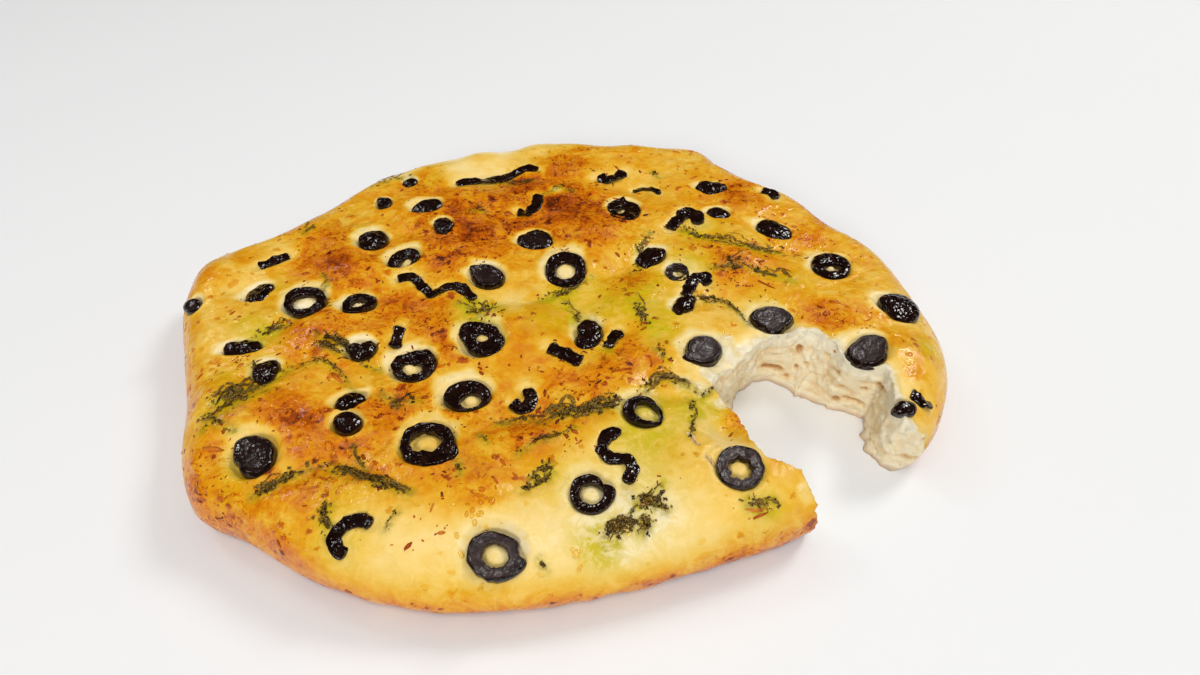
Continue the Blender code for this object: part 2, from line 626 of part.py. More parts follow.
def model_strip(wide, points):
    """A curl of olive skin that lies along a route on the crust."""
    route = strip_route(points, STRIP_STEP)
    ahead = np.gradient(route, axis=0)
    ahead /= np.linalg.norm(ahead, axis=1)[:, None]
    aside = np.stack([-ahead[:, 1], ahead[:, 0]], axis=1) * wide / 2 * MM
    aside[0] *= STRIP_TAPER
    aside[-1] *= STRIP_TAPER
    floor = crust_height(route[:, 0], route[:, 1])
    sections = []
    for place, half, level in zip(route, aside, floor):
        section = band_section(place - half, place + half, STRIP_THICK)
        sections.append([(x, y, z + level) for x, y, z in section])
    bm = bmesh.new()
    sweep_bands(bm, sections, closed=False)
    return bm


def settle(piece, surface):
    """Lets a piece down on the crust until it would touch, and leaves a small gap."""
    bm = bmesh.new()
    bm.from_mesh(piece.data)
    lift = OLIVE_DROP_FROM
    bm.transform(Matrix.Translation((0, 0, lift)))
    down = Matrix.Translation((0, 0, -OLIVE_LIFT_STEP))
    while lift > -OLIVE_DROP_FROM and not BVHTree.FromBMesh(bm).overlap(surface):
        bm.transform(down)
        lift -= OLIVE_LIFT_STEP
    bm.transform(Matrix.Translation((0, 0, OLIVE_LIFT_STEP + OLIVE_GAP)))
    bm.to_mesh(piece.data)
    bm.free()


def model_olives(bread, material):
    """Every separate piece of olive, numbered by its form, settled on the crust."""
    surface = BVHTree.FromObject(bread, bpy.context.evaluated_depsgraph_get())
    made = []
    for number, spec in enumerate(RINGS, 1):
        made.append(join_object(f"olive_ring_{number:02d}", model_ring(*spec), material))
    for number, (*spec, opening) in enumerate(OPEN_RINGS, 1):
        shape = model_ring(*spec, opening=opening)
        made.append(join_object(f"olive_open_ring_{number:02d}", shape, material))
    for number, spec in enumerate(LUMPS, 1):
        made.append(join_object(f"olive_piece_{number:02d}", model_lump(*spec), material))
    for number, spec in enumerate(STRIPS, 1):
        made.append(join_object(f"olive_strip_{number:02d}", model_strip(*spec), material))
    for piece in made:
        settle(piece, surface)
    return made


def main():
    """Builds the loaf and everything on it."""
    clear_scene()
    crust = finish_material("crust", CRUST_COLOUR, 0.45)
    olive = finish_material("olive", OLIVE_COLOUR, 0.3)
    bread = model_loaf(crust)
    apply_boolean(bread, "DIFFERENCE", cutter=model_tear())
    herbs = model_herbs(bread, crust)
    apply_boolean(bread, "UNION", collection=herbs)
    clean_body(bread)
    model_olives(bread, olive)


main()
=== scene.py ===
"""Olive focaccia: an oval flatbread torn open on one side, with sliced black olives and herbs.

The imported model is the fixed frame. This script dresses it: a finely modelled loaf with its baked
crust and torn crumb, one modelled piece for every slice, cap and strip of olive, and the herbs,
chilli and browned flecks that lie on the crust. Everything is in metres, with +Z up, the torn gap
towards +X and the front edge towards -Y. Places on the crust are given as points of the photograph,
which a sight line carries down to the crust.
"""

from __future__ import annotations

import logging
import math
from dataclasses import dataclass, field
from enum import Enum
from itertools import product

import bmesh
import bpy
import numpy as np
from mathutils import Matrix, Vector, noise
from mathutils.bvhtree import BVHTree
from mathutils.kdtree import KDTree

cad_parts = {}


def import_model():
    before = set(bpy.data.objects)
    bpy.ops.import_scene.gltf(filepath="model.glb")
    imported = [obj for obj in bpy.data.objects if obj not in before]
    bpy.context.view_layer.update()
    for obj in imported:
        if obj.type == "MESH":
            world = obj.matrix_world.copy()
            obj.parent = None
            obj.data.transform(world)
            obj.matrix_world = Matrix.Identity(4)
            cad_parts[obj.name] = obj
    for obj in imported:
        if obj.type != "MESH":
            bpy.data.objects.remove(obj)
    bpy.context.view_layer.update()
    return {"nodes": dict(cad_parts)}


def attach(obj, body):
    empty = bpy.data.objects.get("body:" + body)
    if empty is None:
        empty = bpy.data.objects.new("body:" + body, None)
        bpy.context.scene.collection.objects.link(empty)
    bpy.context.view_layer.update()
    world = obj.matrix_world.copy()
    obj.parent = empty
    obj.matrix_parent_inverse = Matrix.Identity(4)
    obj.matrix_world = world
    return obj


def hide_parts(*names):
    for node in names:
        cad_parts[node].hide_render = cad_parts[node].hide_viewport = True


LOG = logging.getLogger("focaccia")
MM = 0.001
# Rounds in which a sight line settles on the crust.
SIGHT_ROUNDS = 4
# Where plumb lines fall from, how near doubles are, and what keeps a length from being 0, in metres.
PLUMB_FROM = 100 * MM
TOUCHING = 1e-7
TINY = 1e-9
Point = tuple[float, float]
Colour = tuple[float, float, float]
Stops = tuple[tuple[float, Colour], ...]
Socket = bpy.types.NodeSocket
Piece = bpy.types.Object
Material = bpy.types.Material
Tree = bpy.types.NodeTree
Array = np.ndarray
Spot = tuple[Vector, Vector]
Bits = list[tuple[Array, Array | float]]
Faces = list[tuple[int, ...]]

# Degrees from +X, and mm from the loaf's middle.
OUTLINE = (
    (-168, 166), (-156, 162), (-145, 167), (-139, 168), (-133, 161), (-119, 155), (-102, 149.5),
    (-86, 144), (-73, 143), (-60, 147), (-49, 155), (-37, 165), (-24, 180), (-11, 185), (2, 179),
    (13, 175), (22, 166), (33, 164), (44, 158), (52, 161.5), (58, 169.5), (66, 161), (78, 150),
    (90, 153), (96, 152), (101, 146), (112, 146), (124, 150), (137, 150.5), (152, 152), (163, 160),
    (171, 180), (178, 178),
)

# Photo point, then reach and height in mm.
SWELLS = (
    ((455, 242), 24, 3.2), ((350, 262), 17, 3), ((214, 274), 14, 2.6), ((322, 328), 18, 3.2),
    ((300, 402), 22, 3), ((468, 192), 18, 2.2), ((598, 226), 22, 3), ((745, 205), 15, 2.8),
    ((742, 252), 15, 2.2), ((640, 300), 16, 2), ((520, 318), 17, 2.4), ((612, 368), 22, 2.4),
    ((440, 492), 30, 2.8), ((560, 440), 20, 2.2), ((680, 470), 22, 2.2), ((860, 306), 18, 3.2),
    ((910, 352), 12, 2.2), ((376, 492), 16, 2), ((232, 420), 15, 2.2), ((545, 545), 20, 1.8),
    ((620, 150), 26, 2.6), ((480, 158), 14, 2.6), ((495, 180), 12, -3.4), ((640, 180), 14, -2.2),
    ((238, 286), 9, -2.4), ((500, 296), 9, -2.2), ((748, 362), 13, -7.5), ((727, 424), 9, -6),
    ((716, 398), 6, -3), ((590, 300), 10, -1.8), ((668, 388), 14, -2), ((495, 584), 30, -5),
    ((400, 588), 30, -3), ((590, 580), 30, -3),
)

# Photo point, and how far the foot stands out below it in mm.
TEAR_EDGE = (
    ((819, 500), 1), ((809, 489), 2.5), ((801, 475), 3.5), ((779, 467), 4), ((764, 463), 4), ((751, 446), 4),
    ((745, 428), 5), ((736, 415), 5.5), ((722, 401), 8), ((712, 385), 10), ((722, 371), 6),
    ((740, 358), 0.5), ((754, 348), -1), ((765, 343), -2), ((776, 340), -1.5), ((786, 338), 4),
    ((801, 335), 11), ((816, 337), 14), ((832, 350), 8), ((844, 366), 1.5), ((864, 373), -1),
    ((882, 377), 1), ((888, 394), 2.5), ((891, 410), 3), ((902, 423), 2), ((922, 430), 1), ((944, 430), 0),
)
TEAR_OUTSIDE = ((1040, 460), (1000, 580), (850, 560), (828, 516))

# Photo point, then width, depth and band of flesh in mm, turn, lean, and the hole's shift in mm.
RINGS = (
    ((404, 257), 18, 13.5, 4.2, 34, 12, (1, -1)), ((305, 302), 19.5, 20, 4.4, 12, 4, (0, 0)),
    ((358, 304), 16.5, 12.5, 3.9, 12, 0, (0, 0.4)), ((482, 338), 20.5, 21, 6.6, -10, 4, (0, 1)),
    ((625, 208), 16.5, 17.5, 5.6, -4, 0, (0.5, 0)), ((566, 268), 19.8, 23, 4.9, -5, 8, (0, 0)),
    ((674, 272), 9, 11.5, 2.7, 0, 4, (0, 0)), ((831, 266), 18.5, 20, 7, -10, 2, (0, -0.5)),
    ((413, 364), 19, 18.5, 5.4, 12, 4, (-1.5, -1.2)), ((466, 395), 20.5, 17, 5.6, 14, 0, (1.8, -2.2)),
    ((642, 411), 16.5, 15.5, 3.9, -30, 0, (1.4, 0.4)), ((427, 443), 20.5, 19.5, 5.2, 6, 0, (0, 0.6)),
    ((740, 467), 17.8, 17.4, 5.2, 0, 0, (0, 0)),
)

# Photo point, then width, depth and band of flesh in mm.
OPEN_RINGS = (
    ((495, 554), 20.8, 19, 5.5), ((591, 493), 15.6, 15.4, 4),
)

# Photo point, then width, depth and height in mm, turn and lean.
LUMPS = (
    ((410, 182), 8, 9, 4, 0, 8), ((384, 203), 8.5, 10.5, 5, 0, 6), ((426, 205), 18, 12.5, 4.6, 16, 10),
    ((372, 239), 16, 15.5, 6, 15, 6), ((443, 223), 10, 11.5, 6, 20, 4), ((535, 240), 18, 13.5, 5.2, -8, 8),
    ((258, 293), 15.5, 9.5, 4.6, 40, 0), ((487, 276), 17.8, 16, 4.6, -18, 6), ((194, 304), 8, 9, 5, 0, 0),
    ((711, 187), 17, 9, 5.6, -6, 6), ((718, 212), 13.5, 7.5, 4.2, -12, 4), ((773, 230), 19, 11, 5, -26, 2),
    ((652, 256), 16, 11.5, 5.2, 38, 4), ((683, 304), 12.5, 8.5, 5, 45, 2),
    ((772, 320), 20, 17.5, 4.4, -8, 4), ((589, 332), 12.5, 19, 6, -12, 4),
    ((897, 307), 20.5, 13.5, 6.4, -46, 0), ((242, 348), 17.5, 8, 4.8, 8, 2),
    ((264, 370), 11.5, 10, 5.2, 40, 0), ((360, 348), 13.2, 11.5, 5.6, 20, 2),
    ((350, 399), 14.5, 7.6, 5.2, 26, 2), ((346, 423), 12.2, 9.6, 6.2, -20, 0),
    ((254, 456), 18.5, 18, 4.6, -80, 2), ((702, 350), 18.6, 16.6, 4.4, -4, 2),
    ((867, 350), 20, 17, 4.6, 38, 2), ((903, 405), 10, 7, 5, 20, 0),
)

# Width in mm, then photo points.
STRIPS = (
    (5.2, (517, 209, 527, 210, 537, 204, 538, 193)),
    (4.4, (397, 277, 411, 273, 421, 283, 430, 292, 444, 284, 456, 283, 466, 289, 474, 296)),
    (4.4, (400, 325, 397, 335, 394, 345)),
    (4.8, (456, 179, 476, 176, 496, 175, 511, 172, 526, 166, 538, 167)),
    (5.6, (597, 174, 607, 176, 617, 174, 625, 170)), (2.8, (633, 187, 643, 185, 653, 187, 660, 191)),
    (5.4, (762, 188, 771, 190, 777, 196)), (6.4, (670, 226, 678, 217, 688, 208, 696, 212, 699, 221)),
    (5.6, (686, 293, 690, 284, 696, 275, 704, 275, 709, 282)), (4.6, (619, 327, 613, 335, 608, 344)),
    (4.8, (258, 264, 272, 259, 288, 253)), (5.4, (549, 345, 565, 352, 581, 360)),
    (4.6, (527, 386, 532, 395, 528, 404, 519, 407, 512, 400)), (5, (912, 391, 922, 397, 933, 404)),
    (4.6, (371, 521, 361, 517, 349, 518, 338, 526, 332, 537, 337, 548, 345, 553)),
    (4.4, (619, 427, 606, 435, 600, 447, 611, 456, 629, 457, 634, 467, 627, 480)),
)


def ease(share: Array) -> Array:
    """Smooth step from 0 to 1."""
    share = np.clip(share, 0.0, 1.0)
    return share * share * (3 - 2 * share)


def bell(share: Array) -> Array:
    """Bell curve, 1 at 0 and falling away on both sides."""
    return np.exp(-(share ** 2))


def pairs(flat: tuple[float, ...]) -> list[Point]:
    """Points from X and Y in turn."""
    return list(zip(flat[::2], flat[1::2]))


def spread_points(points: Array, step: float) -> Array:
    """Spaces points evenly along a broken line.

    Args:
        points: the line's corners, one row each, with plan X and Y first.
        step: the distance between neighbouring points, in metres.

    Returns:
        The evenly spaced points, with any further columns carried along.
    """
    points = np.array(points, float)
    gaps = np.hypot(*np.diff(points[:, :2], axis=0).T)
    run = np.concatenate([[0.0], np.cumsum(gaps)])
    at = np.linspace(0.0, run[-1], max(2, round(run[-1] / step) + 1))
    return np.stack([np.interp(at, run, points[:, k]) for k in range(points.shape[1])], axis=1)


class Relief:
    """Smooth random relief on a repeating lattice, the same on every run."""

    CELLS = 32

    def __init__(self, seed: int) -> None:
        """Draws the lattice that the seed gives."""
        self.lattice = np.random.default_rng(seed).uniform(-1, 1, (self.CELLS,) * 3)

    def at(self, x: Array, y: Array, z: Array | float) -> Array:
        """Reads the relief at places given in lattice cells.

        Args:
            x, y, z: their coordinates, where z may be one level for all.

        Returns:
            A value between -1 and 1 for each place.
        """
        axes = np.broadcast_arrays(*(np.asarray(axis, float) for axis in (x, y, z)))
        low = [np.floor(axis).astype(int) for axis in axes]
        part = [ease(axis - base) for axis, base in zip(axes, low)]
        total = np.zeros(axes[0].shape)
        for bits in product((0, 1), repeat=3):
            weight = np.prod([share if bit else 1 - share for share, bit in zip(part, bits)], axis=0)
            total += weight * self.lattice[tuple((base + bit) % self.CELLS for base, bit in zip(low, bits))]
        return total


@dataclass(frozen=True)
class PhotoView:
    """The view that the photograph was taken from, in the part's own frame."""

    focal_pixels: float = 700.0
    frame_width: float = 1200.0
    middle_pixel: Point = (600.0, 337.5)
    pitch: float = math.radians(44.0)
    eye: tuple[float, float, float] = (0.024206, -0.256999, 0.245)
    sensor: float = 36.0

    def sight(self, point: Point, height: float) -> Array:
        """Carries a photo point down to a level.

        Args:
            point: the point, in pixels of the photograph.
            height: the level over the table, in metres.

        Returns:
            Where the sight line meets that level, in plan.
        """
        across = (point[0] - self.middle_pixel[0]) / self.focal_pixels
        down = (point[1] - self.middle_pixel[1]) / self.focal_pixels
        forward = math.cos(self.pitch) - down * math.sin(self.pitch)
        fall = math.sin(self.pitch) + down * math.cos(self.pitch)
        run = (self.eye[2] - height) / fall
        return np.array([run * across + self.eye[0], run * forward + self.eye[1]])

    def build_camera(self) -> None:
        """Sets up the scene's camera."""
        bpy.ops.object.camera_add(location=self.eye, rotation=(math.pi / 2 - self.pitch, 0, 0))
        camera = bpy.context.object
        camera.name = "photo_camera"
        camera.data.sensor_width = self.sensor
        camera.data.lens = self.focal_pixels / self.frame_width * self.sensor
        camera.data.clip_start = 0.01
        bpy.context.scene.camera = camera


VIEW = PhotoView()


@dataclass(frozen=True)
class Seat:
    """The place where a slice of olive presses the dough."""

    middle: tuple[float, float]
    half_wide: float
    half_deep: float
    turn: float
    level: float
    slope: tuple[float, float]
    hole: float
    shift: tuple[float, float]

    def spread(self, x: Array, y: Array) -> tuple[Array, Array, Array]:
        """Reads places in the slice's own terms.

        Args:
            x, y: the places in plan.

        Returns:
            Distance along and aside from the middle, and the distance as a share of the slice's edge.
        """
        angle = math.radians(self.turn)
        dx = x - self.middle[0]
        dy = y - self.middle[1]
        along = dx * math.cos(angle) + dy * math.sin(angle)
        aside = dy * math.cos(angle) - dx * math.sin(angle)
        return along, aside, np.hypot(along / self.half_wide, aside / self.half_deep)

    def floor(self, x: Array, y: Array) -> Array:
        """Height of the seat's plane over the table."""
        return self.level + self.slope[0] * (x - self.middle[0]) + self.slope[1] * (y - self.middle[1])


@dataclass
class LoafForm:
    """The loaf's shape: its outline, its section, its swells, and the seats pressed into its crust."""

    crust_height: float = 31 * MM
    side_height: float = 12 * MM
    shoulder: float = 21 * MM
    bake_wave: float = 1.9 * MM
    wave_length: float = 38 * MM
    middle: Array = field(default_factory=lambda: np.zeros(2))
    rise_per_height: float = 0.5
    rise_loss: float = 2.4 * MM
    seat_slope_most: float = 0.22
    slope_step: float = 6 * MM
    olive_thick: float = 4.4 * MM
    olive_sink: float = 2.8 * MM
    strip_rise: float = 1.5 * MM
    hollow_reach: float = 1.85
    seats: dict[str, Seat] = field(default_factory=dict)

    def __post_init__(self) -> None:
        """Finds the outline's middle and every slice's seat."""
        angles = np.linspace(-math.pi, math.pi, 721)
        reach = self.reach(angles)
        x = reach * np.cos(angles)
        y = reach * np.sin(angles)
        self.middle = np.array([(x.min() + x.max()) / 2, (y.min() + y.max()) / 2])
        for number, (point, wide, deep, band, *lie, shift) in enumerate(RINGS, 1):
            self.add_seat(f"olive_ring_{number:02d}", point, (wide, deep), lie, band=band, shift=shift)
        for number, (point, wide, deep, band) in enumerate(OPEN_RINGS, 1):
            self.add_seat(f"olive_open_ring_{number:02d}", point, (wide, deep), (0, 0), band=band)
        for number, (point, wide, deep, high, *lie) in enumerate(LUMPS, 1):
            self.add_seat(f"olive_piece_{number:02d}", point, (wide, deep), lie, high * MM)

    def reach(self, angles: Array) -> Array:
        """Distance from the loaf's middle to its side.

        Args:
            angles: directions in plan, in radians from +X.

        Returns:
            The distance at each angle, by a smooth curve through OUTLINE.
        """
        knots = np.radians([angle for angle, _ in OUTLINE])
        reach = np.array([size for _, size in OUTLINE]) * MM
        knots = np.concatenate([knots[-2:] - math.tau, knots, knots[:2] + math.tau])
        reach = np.concatenate([reach[-2:], reach, reach[:2]])
        slopes = np.gradient(reach, knots)
        wrapped = (np.asarray(angles) + math.pi) % math.tau - math.pi
        left = np.clip(np.searchsorted(knots, wrapped, side="right") - 1, 0, len(knots) - 2)
        width = knots[left + 1] - knots[left]
        t = (wrapped - knots[left]) / width
        start = (1 + 2 * t) * (1 - t) ** 2 * reach[left] + t * (1 - t) ** 2 * width * slopes[left]
        end = t * t * (3 - 2 * t) * reach[left + 1] - t * t * (1 - t) * width * slopes[left + 1]
        return start + end

    def inset(self, x: Array, y: Array) -> Array:
        """How far each place is in from the loaf's side."""
        across, deep = x + self.middle[0], y + self.middle[1]
        return self.reach(np.arctan2(deep, across)) - np.hypot(across, deep)

    def body_height(self, x: Array, y: Array) -> Array:
        """Height of the baked dough before the olives press into it.

        Args:
            x, y: the places in plan.

        Returns:
            The heights over the table, in metres.
        """
        inset = self.inset(x, y)
        round_over = np.sqrt(np.clip(1 - (1 - np.clip(inset / self.shoulder, 0, 1)) ** 2.6, 0, 1))
        probes = [Vector((a / self.wave_length, b / self.wave_length, 3.7)) for a, b in zip(x, y)]
        level = self.crust_height + self.bake_wave * np.array([noise.noise(probe) for probe in probes])
        for point, size, height in SWELLS:
            spot = VIEW.sight(point, self.crust_height)
            far = np.hypot(x - spot[0], y - spot[1]) / (size * MM)
            level = level + height * MM * bell(far)
        return self.side_height + (level - self.side_height) * round_over

    def on_crust(self, point: Point, rise: float = 0.0) -> Array:
        """Carries a photo point down to a level over the dough.

        Args:
            point: the point, in pixels of the photograph.
            rise: how far over the dough the seen thing is.

        Returns:
            Its place in plan.
        """
        height = self.crust_height
        for _ in range(SIGHT_ROUNDS):
            place = VIEW.sight(point, height + rise)
            height = float(self.body_height(place[:1], place[1:])[0])
        return place

    def add_seat(
        self,
        name: str,
        point: Point,
        size: Point,
        lie: Point,
        high: float = olive_thick,
        band: float = 0.0,
        shift: Point = (0.0, 0.0),
    ) -> None:
        """Works out the seat of one slice.

        Args:
            name: the slice's node.
            point: its middle in the photograph.
            size: its width and depth in mm.
            lie: its turn in plan and its lean towards the viewer, in degrees.
            high: its height.
            band: how wide the flesh round its hole is in mm, 0 for no hole.
            shift: the shift of its hole in mm.
        """
        turn, lean = lie
        middle = self.on_crust(point, high * self.rise_per_height - self.rise_loss)
        step = self.slope_step
        x = middle[0] + np.array([0, -step, step, 0, 0])
        y = middle[1] + np.array([0, 0, 0, -step, step])
        heights = self.body_height(x, y)
        slopes = np.array([heights[2] - heights[1], heights[4] - heights[3]]) / (2 * step)
        slopes = np.clip(slopes, -self.seat_slope_most, self.seat_slope_most)
        slope = (float(slopes[0]), float(slopes[1]) + math.tan(math.radians(lean)))
        self.seats[name] = Seat(
            middle=(float(middle[0]), float(middle[1])),
            half_wide=size[0] / 2 * MM,
            half_deep=size[1] / 2 * MM,
            turn=turn,
            level=float(heights[0]) - self.olive_sink,
            slope=slope,
            hole=(min(size) / 2 - band) * MM if band else 0.0,
            shift=(shift[0] * MM, shift[1] * MM),
        )

    def add_zones(self, total: Array, x: Array, y: Array, zones: tuple) -> None:
        """Adds up how much more or less the crust is baked or oiled in soft round zones.

        Args:
            total: the amounts so far, which it changes.
            x, y: the places in plan.
            zones: each zone's photo X and Y, its reach in mm and its amount.
        """
        for across, down, reach, amount in zones:
            spot = self.on_crust((across, down))
            total += amount * bell(np.hypot(x - spot[0], y - spot[1]) / (reach * MM))

    def from_line(self, x: Array, y: Array, points: tuple[float, ...], step: float) -> Array:
        """Distance of each place from a line that is drawn on the crust.

        Args:
            x, y: the places in plan.
            points: the line's photo points, X and Y in turn.
            step: how finely it is followed.

        Returns:
            The distances.
        """
        far = np.full(len(x), 1.0)
        for place in self.strip_route(points, step):
            far = np.minimum(far, np.hypot(x - place[0], y - place[1]))
        return far

    def strip_route(self, points: tuple[float, ...], step: float) -> Array:
        """Plan points at an even step along a strip or strand that lies on the crust."""
        return spread_points([self.on_crust(point, self.strip_rise) for point in pairs(points)], step)


# Photo X and Y, reach in mm, and how much more it is baked.
BAKED = (
    (400, 240, 50, 0.07), (455, 212, 24, 0.26), (545, 206, 26, 0.44), (604, 212, 17, 0.28),
    (465, 246, 20, 0.26), (515, 228, 16, 0.2), (350, 266, 14, 0.18), (312, 262, 12, 0.22),
    (420, 180, 10, 0.2), (522, 182, 11, 0.34), (330, 236, 12, 0.22), (562, 162, 12, 0.32),
    (740, 190, 12, 0.2), (802, 236, 14, 0.22), (330, 330, 16, 0.18), (404, 308, 16, 0.24),
    (378, 336, 12, 0.18), (430, 320, 9, 0.3), (452, 342, 8, 0.22), (302, 398, 17, 0.02),
    (288, 430, 12, 0.34), (342, 470, 10, 0.24), (406, 399, 13, 0.26), (490, 412, 16, 0.18),
    (590, 366, 22, 0.18), (622, 284, 10, 0.24), (640, 350, 13, 0.1), (730, 205, 12, 0.1),
    (732, 264, 14, 0.2), (824, 314, 12, 0.26), (842, 332, 10, 0.24), (196, 470, 11, 0.2),
    (206, 500, 10, 0.22), (200, 396, 8, 0.14), (478, 498, 9, 0.16), (440, 440, 26, 0.1),
    (340, 440, 24, 0.08), (540, 440, 24, 0.1), (690, 212, 12, 0.1), (250, 505, 20, 0.14),
    (310, 525, 18, 0.12), (736, 424, 6, 0.3), (770, 250, 10, 0.08), (520, 180, 7, 0.4), (548, 200, 8, 0.34),
    (470, 226, 8, 0.24), (330, 262, 7, 0.26), (606, 206, 7, 0.24), (636, 276, 7, 0.24),
    (440, 556, 36, -0.14), (460, 168, 13, -0.34), (540, 152, 9, -0.2), (600, 157, 10, -0.05),
    (560, 556, 26, -0.18), (660, 540, 22, -0.16), (690, 512, 30, -0.12), (370, 550, 26, -0.1),
    (905, 318, 16, -0.06), (884, 372, 12, -0.14), (932, 374, 8, -0.12), (742, 352, 17, -0.38),
    (706, 362, 12, -0.18), (690, 420, 12, -0.12), (620, 470, 22, -0.16), (500, 160, 13, -0.22),
    (405, 174, 9, -0.2), (660, 162, 16, -0.06), (236, 288, 10, -0.06), (276, 248, 10, -0.1),
    (556, 189, 5, -0.6), (512, 300, 9, -0.2), (688, 266, 8, -0.3), (780, 500, 18, -0.08),
    (262, 448, 13, -0.06), (232, 332, 12, -0.08), (404, 276, 9, -0.14), (748, 172, 12, -0.14),
    (800, 360, 14, -0.16), (652, 262, 9, -0.12), (880, 288, 12, -0.08), (904, 362, 10, -0.14),
    (700, 322, 10, -0.06), (480, 432, 10, -0.12), (916, 370, 7, 0.16), (720, 437, 7, -0.12),
    (620, 545, 9, -0.1), (300, 455, 9, -0.07), (302, 520, 12, -0.06), (730, 330, 9, 0.24),
    (450, 342, 7, 0.22), (318, 386, 10, -0.1), (560, 452, 12, -0.08),
)

# Photo X and Y, reach in mm, and how oily it is.
OILED = (
    (262, 336, 9, 0.5), (276, 288, 7, 0.24), (478, 308, 9, 0.55), (560, 298, 8, 0.4), (638, 302, 11, 0.4),
    (655, 334, 8, 0.45), (578, 322, 7, 0.45), (605, 350, 7, 0.35), (645, 250, 7, 0.4), (690, 232, 8, 0.35),
    (755, 246, 9, 0.25), (700, 408, 9, 0.6), (650, 425, 12, 0.35), (640, 440, 14, 0.3), (645, 500, 14, 0.3),
    (596, 546, 8, 0.3), (655, 398, 8, 0.3), (600, 300, 16, 0.3), (650, 282, 11, 0.32), (690, 262, 12, 0.35),
    (716, 226, 11, 0.3), (540, 318, 10, 0.3), (664, 318, 10, 0.35), (480, 318, 8, 0.35), (600, 545, 9, 0.35),
    (800, 280, 9, 0.2), (560, 296, 7, 0.3), (250, 322, 10, 0.26), (466, 304, 8, 0.24), (232, 400, 10, 0.4),
    (222, 376, 7, 0.25), (236, 478, 10, 0.24), (340, 536, 9, 0.28), (925, 345, 7, 0.38), (760, 300, 8, 0.18),
    (764, 506, 7, 0.36), (335, 480, 9, 0.22), (562, 478, 10, 0.22), (272, 380, 8, 0.28),
    (470, 460, 10, 0.12), (716, 350, 7, 0.15), (430, 182, 7, 0.2), (360, 230, 6, 0.2), (480, 560, 8, 0.12),
)

# Photo points, then width and depth in mm.
CREASES = (
    ((212, 402, 236, 394, 262, 380, 288, 364, 306, 352), 4.5, 1.6),
    ((250, 338, 268, 330, 290, 318, 322, 300, 352, 288), 4.5, 1.4),
    ((250, 494, 280, 480, 308, 466, 340, 456, 380, 468, 408, 488), 5, 1.3),
    ((495, 424, 530, 420, 570, 412, 620, 400, 660, 390, 694, 392), 4.5, 1.4),
    ((470, 312, 500, 300, 540, 296, 585, 280, 630, 262, 652, 240), 4.5, 1.3),
    ((700, 232, 740, 240, 790, 248, 830, 246), 5, 1.2), ((690, 300, 715, 298, 738, 304, 750, 320), 4, 1.2),
    ((430, 190, 452, 180, 500, 177, 545, 174, 600, 178, 640, 190), 5.5, 1.6),
    ((365, 250, 400, 232, 440, 228, 480, 236, 530, 232), 5, 1),
    ((520, 487, 545, 475, 590, 470, 620, 486), 5, 0.9), ((625, 330, 655, 312, 668, 290), 4, 1.2),
    ((322, 330, 350, 348, 385, 372, 420, 380), 4.5, 1),
)
# Photo points, then width and depth in mm.
CRACKS = (
    ((686, 428, 692, 433, 697, 440, 705, 447, 708, 455, 714, 462), 0.6, 1.2),
    ((497, 582, 494, 592, 498, 601, 495, 612), 0.5, 0.5),
)
# Degrees from +X, and how much more the foot is baked.
SIDE_BAKE = (
    (-180, 0.36), (-150, 0.44), (-135, 0.46), (-118, 0.46), (-98, 0.46), (-82, 0.5), (-62, 0.6), (-40, 0.58),
    (-20, 0.34), (10, 0.26), (60, 0.36), (108, 0.46), (150, 0.42), (180, 0.3),
)
# Photo point, reach in mm, and how much of the skin is off.
PEELED = (
    ((738, 350), 8.5, 1), ((726, 340), 6, 0.9), ((712, 371), 6.5, 1), ((684, 380), 4.5, 0.8),
    ((700, 384), 5, 0.9), ((722, 397), 4, 0.9), ((806, 486), 3.5, 0.6), ((760, 340), 5, 0.8),
)


class Fleck(Enum):
    """The kinds of small bits that lie on the crust."""

    LEAF = "herb_leaves"
    STEM = "herb_stems"
    CHILLI = "chilli_bits"
    CRUMB = "toasted_flecks"
    BEAD = "oil_beads"


